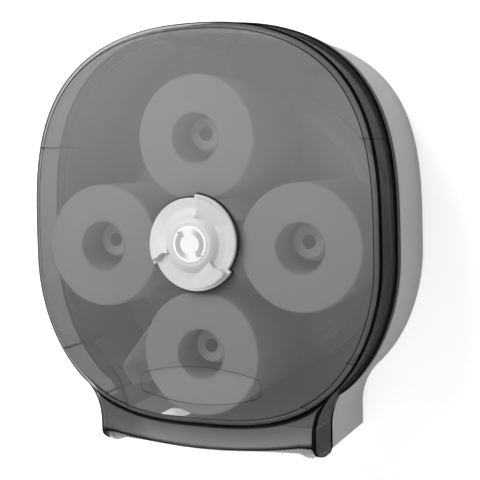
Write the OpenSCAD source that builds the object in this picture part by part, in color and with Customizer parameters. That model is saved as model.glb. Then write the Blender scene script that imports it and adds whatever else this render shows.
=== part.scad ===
// Wall-mounted dispenser for four standard toilet rolls on a turning carousel.
// Millimetres. The carousel axis runs along Y through the origin, the wall is the
// plane y = 0, the front faces -Y and +Z is up. "Reach" below always means the
// distance out from the wall, so a reach of 100 is the plane y = -100.

/* [Rolls] */
// Diameter of a full roll
roll_d = 108; // [100:1:112]
// Width of a roll, along the carousel axis
roll_w = 114; // [104:1:118]
// Inside diameter of the cardboard core
core_d = 42.6; // [41:0.1:45]
// Wall of the cardboard core
core_wall = 1.2; // [0.8:0.1:1.6]
// Gap between two neighbouring rolls
roll_gap = 22.8; // [18:0.2:30]
// Thickness of the hanging end of paper
tail_t = 0.6; // [0.4:0.1:0.9]
// Length of the paper that hangs straight from the roll
tail_run = 63; // [50:1:68]
// Length of the paper below its crease
tail_end = 29; // [20:1:32]

/* [Case] */
// Free space between the wall and the back of the rolls
back_space = 26; // [24:0.5:34]
// Free space between the front of the rolls and the cover
front_room = 1.5; // [1:0.1:5]
// Free space beside the turning rolls
side_room = 8.6; // [7:0.1:16]
// Free space above the turning rolls, where the lock sits
lock_room = 32.5; // [31:0.1:40]
// Free space below the turning rolls
floor_room = 4.4; // [3:0.1:10]
// Height of the case's widest point, measured from the carousel axis
widest_z = -16; // [-24:1:0]
// Flatness of the outline's top, where 2 is an ellipse
top_flat = 2.31; // [2.2:0.01:2.6]
// Flatness of the outline's sides above the widest point
upper_side_flat = 3.41; // [3:0.01:3.6]
// Flatness of the outline's bottom
bottom_flat = 2.93; // [2.7:0.01:3.2]
// Flatness of the outline's sides below the widest point
lower_side_flat = 1.9; // [1.85:0.01:2.2]
// Wall of the front cover
cover_wall = 2.5; // [2:0.1:3]
// Wall of the rear housing
housing_wall = 3; // [2.4:0.1:3.6]
// Reach of the rear housing, up to the joint line with the cover
housing_reach = 91.8; // [86:0.1:98]
// Gap at the joint line between housing and cover
joint_gap = 0.7; // [0.5:0.1:1.5]
// Rounding of the cover's front edge
front_edge = 3.6; // [2.6:0.1:4.5]
// How far the skirt round the cover's rim stands proud of its wall
skirt_proud = 3.4; // [0.6:0.1:4.5]

/* [Chin] */
// Half width of the chin that carries the hinge
chin_half = 102; // [94:1:108]
// How far the chin is set back from the front face
chin_set = 5; // [3:0.5:8]
// Height at which the chin's sides become upright, below the axis
flare_z = 162; // [158:1:168]
// Lowest point of the hinge legs, below the axis
leg_z = 184.5; // [182:0.5:192]
// Lowest point of the tear edge at its middle, below the axis
tear_z = 180; // [178:0.5:182]
// Rise of the tear edge from its middle to its ends
tear_rise = 8; // [4:0.5:12]
// Pitch of the tear teeth
tooth_pitch = 3.4; // [2.8:0.1:5]
// Depth of the tear teeth
tooth_depth = 1.1; // [0.6:0.1:1.6]
// Radius of the hinge pins
pin_r = 3; // [2.5:0.1:3.5]
// Thickness of the hinge ears
ear_t = 3.4; // [2.6:0.1:4.4]
// Thickness of the floor below the rolls and of the apron in front of it
floor_t = 2.5; // [2:0.1:3]
// Width of the outlet in the floor
outlet_w = 65; // [40:1:72]
// Lowest point of the apron at its middle, below the axis
apron_z = 181.8; // [176:0.2:183]
// Rise of the apron's edge from its middle towards its ends
apron_rise = 2.6; // [0:0.2:6]

/* [Carousel] */
// Diameter of the roll posts
post_d = 34.8; // [32:0.1:36]
// Distance from the front of a roll back to the tip of its post
post_inset = 22; // [14:0.5:32]
// Radius of the hole in the tip of a post
tip_hole_r = 6; // [4.5:0.1:7]
// Radius of the axle
axle_r = 6; // [5:0.1:7]
// Outer radius of the carousel wheel
wheel_r = 137; // [130:1:140]
// Thickness of the wheel's plate
wheel_t = 2.5; // [2:0.1:3]
// Outer radius of the tube that drives the carousel
tube_r = 14; // [13.4:0.1:17]
// Depth to which the coupler's blades enter the tube
blade_grip = 6; // [4:0.5:8]

/* [Knob] */
// Radius of the knob at the tips of its lobes
knob_r = 42.5; // [36:0.5:46]
// Difference between the largest and smallest radius of a lobe
lobe_step = 3.2; // [1:0.2:5]
// Rise of the ramp on each lobe, where the fingers push
ramp_rise = 5; // [3:0.2:6]
// Number of lobes
lobes = 3; // [2:1:5]
// Radius of the round button in the knob
button_r = 17.3; // [16.6:0.1:20]
// Radius of the knob's neck in the cover
neck_r = 15; // [14:0.1:16]
// Thickness of the dark backing behind the knob
backing_t = 3; // [2:0.5:5]

/* [Lock] */
// Half width of the lock box
box_half = 26.8; // [24:0.1:32]
// Depth of the lock box below the cover's top wall at its middle
box_drop = 17.5; // [16.5:0.1:20]
// Radius of the lock barrel
barrel_r = 5.5; // [4.5:0.1:6.5]
// Height by which the hook of the cam stands up behind the catch
hook_h = 3.2; // [2.2:0.1:3.6]

/* [Wall fixing] */
// Spacing of the two upper slots
slot_pitch = 114; // [96:1:120]
// Height of the upper slots above the axis
slot_z = 150; // [146:0.5:152]
// Width of an upper slot
slot_w = 6.5; // [4.5:0.1:7.5]
// Length of an upper slot, end to end
slot_l = 19; // [14:0.5:22]
// Spacing of the two lower holes
hole_pitch = 242; // [236:1:246]
// Depth of the lower holes below the axis
hole_z = 97; // [92:0.5:98]
// Radius of a lower hole
hole_r = 3.5; // [2.5:0.1:4.5]
// Radius of the flat pad left by the mould at the top of the back wall
pad_r = 7.5; // [5:0.5:9]

/* [Hidden] */

PLACES = ["top", "right", "bottom", "left"];
HAND = ["left", "right"];
TURNED = 96;
SMALL = 48;
OUTLINE_POINTS = 96;
FIT = 0.08;      // running clearance on a radius
SEAT = 0.3;      // gap where one piece rests on another
SLIP = 0.02;     // clearance on a radius where a piece is pressed home

// Rolls
roll_r = roll_d / 2;
core_r = core_d / 2;
post_r = post_d / 2;
hang = core_r - post_r - SEAT;
ring_r = (roll_d + roll_gap) / sqrt(2);
sweep_r = ring_r + hang + roll_r;
roll_back = back_space;
roll_front = back_space + roll_w;

// Case outline and its planes
half_w = sweep_r + side_room + cover_wall;
top_z = sweep_r + lock_room + cover_wall;
low_z = -(sweep_r + floor_room + cover_wall);
face_in = roll_front + front_room;
face_out = face_in + cover_wall;
rim_back = housing_reach + joint_gap;
chin_out = face_out - chin_set;
chin_in = chin_out - cover_wall;
lip_reach = housing_reach + 6;
lip_gap = 0.5;
lip_wall = 2;
lip_from_z = -20;
skirt_w = 9;
shoulder_w = 2;
edge_in = cover_wall / 2;
tab_t = 1.6;
tab_in = cover_wall + 6.5;
tab_clear = cover_wall + lip_gap + lip_wall + 1.5;
tab_back = rim_back - 10;
tab_short = rim_back + 7;
upper_tab_z = 84;
lower_tab_z = -98;
chin_tab_z = -138;

// Hinge
pin_reach = rim_back + 22.5;
pin_z = -(leg_z - 9.5);
leg_sweep = 31;
leg_round = 18.4;
leg_heel = 6;
leg_cut_in = chin_half - housing_wall - 0.4;
ear_out = chin_half - housing_wall - 0.4;
ear_in = ear_out - ear_t;
ear_top = pin_z + 14.5;
ear_low = -leg_z + 2.5;
ear_front = pin_reach + 15.5;
pin_sink = 2.2;
pin_head_t = 2.5;
pin_head_r = pin_r + 2;

// Floor and apron
floor_top = low_z + 0.5;
apron_front = ear_front - 3;
apron_half = ear_in + 0.8;
apron_heel_drop = 3.3;
apron_heel_w = 8;
outlet_left = -(ear_in - 5);
outlet_back = housing_wall + 19;
outlet_front = apron_front - floor_t - 3;
outlet_corner = 6;

// Carousel, as reaches
wheel_front = roll_back - 1.8;
wheel_back = wheel_front - wheel_t;
boss_front = wheel_back - 9.2;
washer_t = 1.3;
hub_back = boss_front + washer_t + 0.2;
hub_front = wheel_front + 10;
hub_r = tube_r - 3;
boss_r = axle_r + 6;
axle_back = housing_wall - 0.5;
brake_t = 0.8;
nut_t = 3;
nut_back = hub_front + brake_t + 0.3;
axle_front = nut_back + nut_t;
tube_bore_r = hub_r + 0.4;
tube_flange_r = tube_r + 10;
tube_flange_t = 2.6;
socket_t = 8;
post_front = roll_front - post_inset;
post_shell = 2;
post_cone = 14;
post_tip_r = post_r - 4;
post_floor = 3;
post_screw_r = 2;
post_boss_r = 6;
screw_head_r = 3.6;
screw_head_t = 2.4;
post_boss_back = wheel_back - 9;

// Knob and coupler, as reaches
backing_back = face_out + 0.5;
plate_back = backing_back + backing_t;
plate_front = plate_back + 2.4;
ramp_span = 55;
ramp_in = button_r + 5;
dome_foot_r = button_r + 13;
dome_front = plate_front + 5.6;
button_back = dome_front - 2.6;
button_front = dome_front + 0.6;
web_back = button_back - 2.6;
stem_r = neck_r - 6;
neck_back = face_in - 0.2;
knob_washer_t = 0.8;
flange_front = face_in - knob_washer_t - SEAT;
flange_back = flange_front - 2.4;
flange_r = neck_r + 5;
shaft_r = 7;
blade_t = 3;
blade_half = 9;
blade_play = 0.6;
blade_back = flange_back - 14.4;
tube_front = blade_back + blade_grip;
STEP_ANGLES = [for (i = [0:lobes - 1]) 86 + 360 * i / lobes];

// Label field
label_half = 57;
label_top = -106;
label_low = -139.5;
label_bow_top = 7;
label_bow_low = 7.5;
label_corner = 6;
label_groove_w = 0.9;
label_groove_t = 0.4;

// Lock: the cam turns about an upright axis and hooks behind a catch under the housing's lip
box_back = lip_reach + 1.2;
box_front = face_in - SEAT;
box_wall = 1.8;
box_rib_t = 1.4;
box_top_z = top_z - cover_wall - 0.2;
box_low_z = top_z - cover_wall - box_drop;
box_ceiling = box_top_z - box_wall;
catch_half = 5;
catch_t = 3;
catch_front = lip_reach - 0.5;
catch_back = catch_front - catch_t;
cam_reach = box_half - box_wall - 4.2;
cam_t = 2;
cam_half = 4.5;
tip_t = 3;
tip_in = cam_reach - tip_t;
lock_reach = catch_back + sqrt(pow(tip_in - 0.4, 2) - pow(catch_half, 2));
lip_under = top_at(cam_reach, -cover_wall - lip_gap - lip_wall);
hook_top = lip_under - 0.6;
catch_low = hook_top - hook_h;
cam_top = catch_low - 0.4;
cam_low = cam_top - cam_t;
collar_r = barrel_r + 2;
collar_t = 2;
barrel_top = top_z - 0.5;
key_w = 1.6;
key_l = barrel_r * 1.3;
key_deep = 4;
cam_screw_r = 1.5;
cam_screw_head_r = 3;
cam_screw_head_t = 1.6;

// ---- Helpers ----

// Point of the case outline at parameter angle t, grown outwards by g
function edge(t, g) =
    let (c = cos(t), s = sin(t),
         ends = s >= 0 ? top_flat : bottom_flat,
         sides = s >= 0 ? upper_side_flat : lower_side_flat,
         b = s >= 0 ? top_z - widest_z : widest_z - low_z)
    [(half_w + g) * sign(c) * pow(abs(c), 2 / ends), widest_z + (b + g) * sign(s) * pow(abs(s), 2 / sides)];

// Parameter angle of the outline's point at height z
function edge_angle(z) =
    z >= widest_z
        ? asin(pow((z - widest_z) / (top_z - widest_z), upper_side_flat / 2))
        : -asin(pow((widest_z - z) / (widest_z - low_z), lower_side_flat / 2));

function outline(g) = [for (i = [0:OUTLINE_POINTS - 1]) edge(360 * i / OUTLINE_POINTS, g)];

// Height of the outline's top at x, grown by g
function top_at(x, g) =
    widest_z + (top_z - widest_z + g) * pow(1 - pow(abs(x) / (half_w + g), top_flat), 1 / upper_side_flat);

// Radius of the flare that runs smoothly from the chin's upright side, at half width w, into the outline
function nearest(c) = min([for (p = outline(0)) norm(p - c)]);
function flare_r(w, lo = 10, hi = 160, k = 24) =
    let (r = (lo + hi) / 2)
    k == 0 ? r : nearest([w + r, -flare_z]) > r ? flare_r(w, r, hi, k - 1) : flare_r(w, lo, r, k - 1);

// Right side of the chin from its foot up into the outline
function chin_side(w, foot, r) =
    let (c = [w + r, -flare_z],
         near = nearest(c),
         touch = [for (p = outline(0)) if (norm(p - c) <= near + 0.001) p][0],
         last = atan2(touch[1] - c[1], touch[0] - c[0]))
    concat([[w, -foot]],
        [for (i = [0:12]) let (a = 180 + (last - 180) * i / 12) c + r * [cos(a), sin(a)]],
        [[touch[0] - 12, touch[1] + 12]]);

function mirrored(points) = [for (i = [len(points) - 1:-1:0]) [-points[i][0], points[i][1]]];

// Extrudes a front view, drawn in (x, z), between two reaches
module outwards(from, to) translate([0, -from, 0]) rotate([90, 0, 0]) linear_extrude(to - from) children();

// Extrudes a side view, drawn in (reach, z), between two x
module across(from, to) translate([to, 0, 0]) rotate([90, 0, -90]) linear_extrude(to - from) children();

// Turns a profile of (radius, reach) points about the carousel axis or a parallel one
module turned(profile, fn = TURNED) rotate([90, 0, 0]) rotate_extrude($fn = fn) polygon(profile);

module ring(inner, outer, from, to, fn = TURNED)
    turned([[inner, from], [outer, from], [outer, to], [inner, to]], fn);

module rod(r, from, to, fn = SMALL) translate([0, -from, 0]) rotate([90, 0, 0]) cylinder(r = r, h = to - from, $fn = fn);

module chin(w, foot, r) {
    side = chin_side(w, foot, r);
    polygon(concat(side, mirrored(side)));
}

// Moves a piece to its post, in the order top, right, bottom, left
module at_post(k) translate([ring_r * sin(90 * k), 0, ring_r * cos(90 * k)]) children();

// A roll hangs below its post until the core rests on it
module at_roll(k) at_post(k) translate([0, 0, -hang]) children();

module at_each_post() for (k = [0:3]) at_post(k) children();

// ---- Rear housing and what stays on it ----

module housing_shell() {
    difference() {
        union() {
            outwards(0, housing_reach) polygon(outline(0));
            outwards(0, housing_reach) chin(chin_half, leg_z - 2.5, flare_r(chin_half));
        }
        outwards(housing_wall, housing_reach + 1) polygon(outline(-housing_wall));
        outwards(housing_wall, housing_reach + 1)
            chin(chin_half - housing_wall, leg_z + 10, flare_r(chin_half));
    }
}

module housing_lip() {
    difference() {
        outwards(housing_reach - 3, lip_reach)
            difference() {
                polygon(outline(-cover_wall - lip_gap));
                polygon(outline(-cover_wall - lip_gap - lip_wall));
            }
        translate([-half_w - 1, -lip_reach - 1, low_z - 1])
            cube([2 * half_w + 2, lip_reach + 2, lip_from_z - low_z + 1]);
    }
}

// The ear stands inside the leg of the cover and carries the hinge pin
module hinge_ear() {
    across(ear_in, ear_out)
        difference() {
            polygon([[housing_reach - 14, ear_top - 1], [ear_front - 5, ear_top], [ear_front, ear_top - 5],
                [ear_front, pin_z - 3], [ear_front - 3.5, pin_z - 6], [pin_reach + 2, ear_low],
                [housing_reach - 14, ear_low]]);
            translate([pin_reach, pin_z]) circle(r = pin_r + SLIP, $fn = SMALL);
        }
    across(ear_in, ear_out + 1)
        translate([housing_reach - 14, ear_low]) square([13.6, ear_top - 1 - ear_low]);
}

// Height of the apron's lower edge at x: bowed like the tear edge, with a heel beside each ear
function apron_at(x) =
    let (from_end = apron_half - abs(x))
    -apron_z + apron_rise * min(1, pow(x / (chin_half - 14), 2))
        - apron_heel_drop * max(0, min(1, 1.6 - from_end / apron_heel_w));

// Serrated lip in front of the floor, between the ears
module apron() {
    teeth = floor(2 * apron_half / tooth_pitch);
    outwards(apron_front - floor_t, apron_front)
        polygon(concat([[apron_half, floor_top], [-apron_half, floor_top]],
            [for (i = [0:2 * teeth])
                let (x = apron_half * (i / teeth - 1)) [x, apron_at(x) + (i % 2 == 0 ? 0 : tooth_depth)]]));
}

// Level floor below the rolls; the paper leaves through the outlet on the left
module housing_floor() {
    low = floor_top - floor_t;
    half = chin_half - housing_wall + 1.5;
    difference() {
        union() {
            translate([-half, -housing_reach, low]) cube([2 * half, housing_reach - housing_wall + 1, floor_t]);
            translate([-apron_half, -apron_front + 0.5, low])
                cube([2 * apron_half, apron_front - housing_reach + 1, floor_t]);
        }
        translate([outlet_left, -outlet_front, low - 1])
            linear_extrude(floor_t + 2)
                translate([outlet_corner, outlet_corner])
                    offset(r = outlet_corner, $fn = SMALL)
                        square([outlet_w - 2 * outlet_corner, outlet_front - outlet_back - 2 * outlet_corner]);
    }
}

module lock_catch()
    translate([-catch_half, -catch_front, catch_low])
        cube([2 * catch_half, catch_t, lip_under + 1 - catch_low]);

module wall_slots(l, w, from, to)
    for (s = [-1, 1])
        translate([s * slot_pitch / 2, 0, slot_z]) {
            translate([-(l - w) / 2, -to, -w / 2]) cube([l - w, to - from, w]);
            for (e = [-1, 1]) translate([e * (l - w) / 2, 0, 0]) rod(w / 2, from, to);
        }

module rear_housing() color([0.62, 0.62, 0.62]) {
    difference() {
        union() {
            housing_shell();
            rod(boss_r, 0, boss_front, TURNED);
            housing_lip();
            housing_floor();
            apron();
            lock_catch();
            wall_slots(slot_l + 6, slot_w + 6, 0, housing_wall + 1.5);
            for (s = [-1, 1]) translate([s * hole_pitch / 2, 0, -hole_z]) rod(hole_r + 3.5, 0, housing_wall + 1.5);
            translate([-40, 0, 160]) rod(pad_r, 0, housing_wall + 1);
            hinge_ear();
            mirror([1, 0, 0]) hinge_ear();
        }
        rod(axle_r + SLIP, axle_back, boss_front + 1, TURNED);
        wall_slots(slot_l, slot_w, -1, housing_wall + 3);
        for (s = [-1, 1]) translate([s * hole_pitch / 2, 0, -hole_z]) rod(hole_r, -1, housing_wall + 3);
    }
}

module axle() color([0.75, 0.76, 0.78])
    turned([[0, axle_back], [axle_r - 0.6, axle_back], [axle_r, axle_back + 0.6],
        [axle_r, axle_front - 0.6], [axle_r - 0.6, axle_front], [0, axle_front]]);

module thrust_washer() color([0.9, 0.9, 0.86])
    ring(axle_r + 0.1, boss_r - 0.5, boss_front + 0.1, boss_front + 0.1 + washer_t);

module brake_washer() color([0.8, 0.8, 0.82])
    ring(axle_r + 0.1, hub_r - 1, hub_front + 0.15, hub_front + 0.15 + brake_t);

module axle_nut() color([0.7, 0.71, 0.73])
    difference() {
        rod(hub_r - 0.8, nut_back, nut_back + nut_t, 6);
        rod(axle_r + SLIP, nut_back - 1, nut_back + nut_t + 1, TURNED);
    }

// side is -1 for left and 1 for right
module hinge_pin(side) color([0.75, 0.76, 0.78])
    translate([0, -pin_reach, pin_z]) rotate([0, 90 * side, 0]) {
        translate([0, 0, ear_in - pin_head_t]) cylinder(r = pin_head_r, h = pin_head_t, $fn = SMALL);
        translate([0, 0, ear_in - 0.5])
            cylinder(r = pin_r, h = chin_half - housing_wall + pin_sink - 0.3 - ear_in + 0.5, $fn = SMALL);
    }

// ---- Carousel ----

module carousel_wheel() color([0.6, 0.6, 0.6])
    difference() {
        union() {
            turned([
                [axle_r + FIT, hub_back], [axle_r + 7, hub_back], [axle_r + 7, wheel_back],
                [wheel_r - 22, wheel_back], [wheel_r - 21, wheel_back - 1.5], [wheel_r - 12.5, wheel_back - 1.5],
                [wheel_r - 2.4, wheel_back - 11], [wheel_r - 2.4, wheel_back - 13],
                [wheel_r, wheel_back - 13], [wheel_r, wheel_back - 9.6], [wheel_r - 11, wheel_front - 1.5],
                [wheel_r - 19.4, wheel_front - 1.5], [wheel_r - 20, wheel_front],
                [hub_r, wheel_front], [hub_r, hub_front], [axle_r + FIT, hub_front]]);
            at_each_post() rod(post_boss_r, post_boss_back, wheel_back + 0.5);
            for (a = [90, 210, 330])
                rotate([0, a, 0]) translate([tube_r + 5, 0, 0]) rod(3.4, wheel_back - 5, wheel_back + 0.5);
        }
        at_each_post() rod(post_screw_r, post_boss_back - 1, wheel_front + 1);
        for (a = [90, 210, 330])
            rotate([0, a, 0]) translate([tube_r + 5, 0, 0]) rod(1.5, wheel_back - 6, wheel_front + 1);
    }

module drive_tube() color([0.55, 0.55, 0.55])
    difference() {
        turned([
            [tube_bore_r, wheel_front + 0.05], [tube_flange_r, wheel_front + 0.05],
            [tube_flange_r, wheel_front + tube_flange_t], [tube_r, wheel_front + tube_flange_t],
            [tube_r, tube_front], [shaft_r + 1, tube_front], [shaft_r + 1, tube_front - socket_t],
            [tube_bore_r, tube_front - socket_t]]);
        for (a = [0, 90])
            rotate([0, a, 0])
                translate([-blade_half - blade_play, -tube_front - 1, -blade_t / 2 - blade_play])
                    cube([2 * (blade_half + blade_play), socket_t + 2, blade_t + 2 * blade_play]);
        for (a = [90, 210, 330])
            rotate([0, a, 0]) translate([tube_r + 5, 0, 0])
                rod(1.7, wheel_front - 1, wheel_front + tube_flange_t + 1);
    }

module tube_screws() color([0.75, 0.76, 0.78])
    for (a = [90, 210, 330])
        rotate([0, a, 0]) translate([tube_r + 5, 0, 0])
            turned([[0, wheel_back - 4], [1.45, wheel_back - 4], [1.45, wheel_front + tube_flange_t + 0.05],
                [2.8, wheel_front + tube_flange_t + 0.05], [2.4, wheel_front + tube_flange_t + 1.6],
                [0, wheel_front + tube_flange_t + 1.8]], SMALL);

// Hollow post: the screw at its foot is reached through the hole in its tip
module roll_post(k) color([0.68, 0.68, 0.68])
    at_post(k)
        turned([
            [post_screw_r + 0.2, wheel_front + 0.05], [post_r, wheel_front + 0.05],
            [post_r, post_front - post_cone], [post_r - 1, post_front - post_cone / 2],
            [post_tip_r + 1, post_front - 1], [post_tip_r, post_front], [tip_hole_r, post_front],
            [tip_hole_r, post_front - 3], [post_tip_r - post_shell, post_front - 3],
            [post_r - post_shell - 1, post_front - post_cone / 2 - 1],
            [post_r - post_shell, post_front - post_cone], [post_r - post_shell, wheel_front + post_floor],
            [post_screw_r + 0.2, wheel_front + post_floor]]);

module post_screws() color([0.75, 0.76, 0.78])
    at_each_post()
        turned([[0, post_boss_back + 0.5], [post_screw_r - 0.05, post_boss_back + 0.5],
            [post_screw_r - 0.05, wheel_front + post_floor + 0.05],
            [screw_head_r, wheel_front + post_floor + 0.05],
            [screw_head_r - 0.8, wheel_front + post_floor + screw_head_t], [0, wheel_front + post_floor + screw_head_t]],
            SMALL);

// ---- Rolls ----

module roll_core(k) color([0.62, 0.5, 0.36])
    at_roll(k) ring(core_r, core_r + core_wall, roll_back, roll_front);

module paper_roll(k) color([0.96, 0.96, 0.94])
    at_roll(k)
        turned([[core_r + core_wall + 0.05, roll_back], [roll_r - 1, roll_back], [roll_r, roll_back + 1],
            [roll_r, roll_front - 1], [roll_r - 1, roll_front], [core_r + core_wall + 0.05, roll_front]]);

// Loose end of the bottom roll: straight off the roll, creased, then down and in
module paper_tail() color([0.96, 0.96, 0.94]) {
    lift = 52;
    leave = [-cos(lift - 14) * (roll_r + 0.1), sin(lift - 14) * (roll_r + 0.1)];
    crease = leave + tail_run * [-cos(lift), -sin(lift)];
    mid = crease + tail_end / 2 * [cos(lift), -sin(lift)];
    low = mid + tail_end / 2 * [cos(lift + 10), -sin(lift + 10)];
    right = tail_t * [sin(lift), -cos(lift)];
    left = tail_t * [1, 0.3];
    at_roll(2) outwards(roll_back + 2, roll_front - 6)
        polygon([leave - right, crease - [tail_t, 0], mid - left, low - left, low, mid, crease, leave]);
}

// ---- Cover ----

// Case body with a rounded front edge, grown by g, its front at a given reach
module rounded_body(g, from, front, r) {
    outwards(from, front - r + 0.01) polygon(outline(g));
    hull() {
        outwards(front - r, front - r + 0.01) polygon(outline(g));
        outwards(front - r / 3, front - r / 3 + 0.01) polygon(outline(g - r / 3));
        outwards(front - 0.01, front) polygon(outline(g - r));
    }
}

// Height of the tear edge at x
function tear_at(x) =
    let (span = chin_half - housing_wall - 11)
    -tear_z + tear_rise * min(1, pow(x / span, 2));

// Everything below the tear edge, between the legs; the teeth are cut into it
module below_tear_edge() {
    side = chin_half - housing_wall;
    teeth = floor(2 * side / tooth_pitch);
    polygon(concat(
        [for (i = [0:2 * teeth])
            let (x = -side + side * i / teeth) [x, tear_at(x) + (i % 2 == 0 ? 0 : tooth_depth)]],
        [[side, -leg_z - 5], [-side, -leg_z - 5]]));
}

// Web on the cover's wall at height z; behind the rim it keeps clear of the housing's wall and lip
module cover_tab(z, back) {
    t = edge_angle(z);
    p = edge(t, 0);
    lean = z > widest_z ? 0 : -t / 3;
    split = lip_reach + 1;
    translate([p[0], 0, p[1]]) rotate([0, lean, 0]) {
        translate([-tab_in, -face_in - 0.5, -tab_t / 2])
            cube([tab_in - edge_in, face_in + 0.5 - split, tab_t]);
        translate([-tab_in, -split - 1, -tab_t / 2])
            cube([tab_in - tab_clear, split + 1 - back, tab_t]);
    }
}

module cover_tabs() {
    cover_tab(upper_tab_z, tab_back);
    cover_tab(lower_tab_z, tab_back);
    cover_tab(chin_tab_z, tab_short);
}

// Field for a label: bowed at its top and bottom, with rounded corners, pulled in by t
module label_field(t) {
    r = label_corner - t;
    corners = [
        [label_half - label_corner, label_top - label_bow_top - label_corner, 0],
        [-label_half + label_corner, label_top - label_bow_top - label_corner, 90],
        [-label_half + label_corner, label_low + label_bow_low + label_corner, 180],
        [label_half - label_corner, label_low + label_bow_low + label_corner, 270]];
    polygon(concat(
        [for (i = [0:8]) let (a = corners[0][2] + 90 * i / 8) [corners[0][0], corners[0][1]] + r * [cos(a), sin(a)]],
        [for (i = [1:11]) let (u = 1 - i / 6) [corners[0][0] * u, label_top - t - label_bow_top * u * u]],
        [for (i = [0:8]) let (a = corners[1][2] + 90 * i / 8) [corners[1][0], corners[1][1]] + r * [cos(a), sin(a)]],
        [for (i = [0:8]) let (a = corners[2][2] + 90 * i / 8) [corners[2][0], corners[2][1]] + r * [cos(a), sin(a)]],
        [for (i = [1:11]) let (u = i / 6 - 1) [corners[0][0] * u, label_low + t + label_bow_low * u * u]],
        [for (i = [0:8]) let (a = corners[3][2] + 90 * i / 8) [corners[3][0], corners[3][1]] + r * [cos(a), sin(a)]]));
}

// What the corners of both legs are rounded by; the tear edge between them stays whole
module leg_corners() for (s = [-1, 1]) across(min(s * leg_cut_in, s * half_w), max(s * leg_cut_in, s * half_w)) {
    polygon(concat([[chin_out + 1, -leg_z + leg_round], [chin_out + 1, -leg_z - 1],
            [chin_out - leg_sweep, -leg_z - 1]],
        [for (i = [0:16]) let (a = 270 + 90 * i / 16)
            [chin_out - leg_sweep + leg_sweep * cos(a), -leg_z + leg_round + leg_round * sin(a)]]));
    difference() {
        translate([rim_back - 1, -leg_z - 1]) square([leg_heel + 1, leg_heel + 1]);
        translate([rim_back + leg_heel, -leg_z + leg_heel]) circle(r = leg_heel, $fn = SMALL);
    }
}

module front_cover() color([0.28, 0.28, 0.29, 0.55])
    difference() {
        union() {
            difference() {
                union() {
                    rounded_body(0, rim_back, face_out, front_edge);
                    outwards(rim_back, rim_back + skirt_w) polygon(outline(skirt_proud));
                    outwards(rim_back + skirt_w - 1, rim_back + skirt_w + shoulder_w)
                        polygon(outline(skirt_proud / 2));
                    outwards(rim_back, chin_out) chin(chin_half, leg_z, flare_r(chin_half));
                }
                rounded_body(-cover_wall, rim_back - 1, face_in, front_edge / 2);
                outwards(rim_back - 1, chin_in) chin(chin_half - housing_wall, leg_z + 10, flare_r(chin_half));
                outwards(chin_in - 0.1, chin_out + 1) below_tear_edge();
                leg_corners();
            }
            cover_tabs();
            mirror([1, 0, 0]) cover_tabs();
        }
        rod(neck_r + FIT, face_in - 1, face_out + 1, TURNED);
        translate([0, -lock_reach, box_top_z]) cylinder(r = barrel_r + FIT, h = cover_wall + 4, $fn = SMALL);
        outwards(face_out - label_groove_t, face_out + 1)
            difference() {
                label_field(0);
                label_field(label_groove_w);
            }
        for (s = [-1, 1])
            translate([s * (chin_half - housing_wall - 1), -pin_reach, pin_z]) rotate([0, 90 * s, 0])
                cylinder(r = pin_r + FIT, h = 1 + pin_sink, $fn = SMALL);
    }

// ---- Lock ----

function box_top(x) = top_at(x, -cover_wall) - 0.2;

// Front view of the lock box, pulled in by t on all sides
module box_section(t) {
    right = [[box_half - t, box_top(box_half) - t], [box_half - t, box_low_z + 7 + t * 0.6],
        [box_half - 3 - t, box_low_z + 5.6 + t], [box_half * 0.45, box_low_z + 1 + t],
        [box_half * 0.2, box_low_z + t]];
    polygon(concat([[0, box_top(0) - t], [box_half / 2, box_top(box_half / 2) - t]], right,
        mirrored(right), [[-box_half / 2, box_top(box_half / 2) - t]]));
}

// Box under the cover's top wall, open to the back, with three ribs at its front. The edge at its
// front is cut back where the cover's wall rounds into its face
module lock_box() color([0.3, 0.3, 0.31, 0.6])
    difference() {
        union() {
            difference() {
                outwards(box_back, box_front) box_section(0);
                outwards(box_back - 1, box_front - box_wall - 0.8) box_section(box_wall);
            }
            for (s = [-1, 0, 1])
                intersection() {
                    outwards(lock_reach + collar_r + 5, box_front - 0.5) box_section(0.5);
                    translate([s * 11.8 - box_rib_t / 2, -box_front, box_low_z - 1])
                        cube([box_rib_t, box_front, box_drop + 2]);
                }
        }
        translate([0, -lock_reach, box_ceiling - 1]) cylinder(r = barrel_r + FIT, h = box_wall + 4, $fn = SMALL);
        translate([-box_half - 1, -box_front - 1, box_top(box_half) - front_edge / 2])
            cube([2 * box_half + 2, 1 + front_edge / 2 - SEAT, 10]);
    }

module lock_barrel() color([0.75, 0.76, 0.78])
    difference() {
        translate([0, -lock_reach, 0])
            rotate_extrude($fn = SMALL)
                polygon([[0, cam_top + 0.05], [barrel_r - 1, cam_top + 0.05], [barrel_r - 1, box_ceiling - SEAT - collar_t],
                    [collar_r, box_ceiling - SEAT - collar_t], [collar_r, box_ceiling - SEAT],
                    [barrel_r, box_ceiling - SEAT], [barrel_r, barrel_top - 0.4], [barrel_r - 0.4, barrel_top],
                    [0, barrel_top]]);
        translate([-key_l / 2, -lock_reach - key_w / 2, barrel_top - key_deep]) cube([key_l, key_w, key_deep + 1]);
        translate([0, -lock_reach, cam_top - 1]) cylinder(r = cam_screw_r, h = 6, $fn = SMALL);
    }

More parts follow.
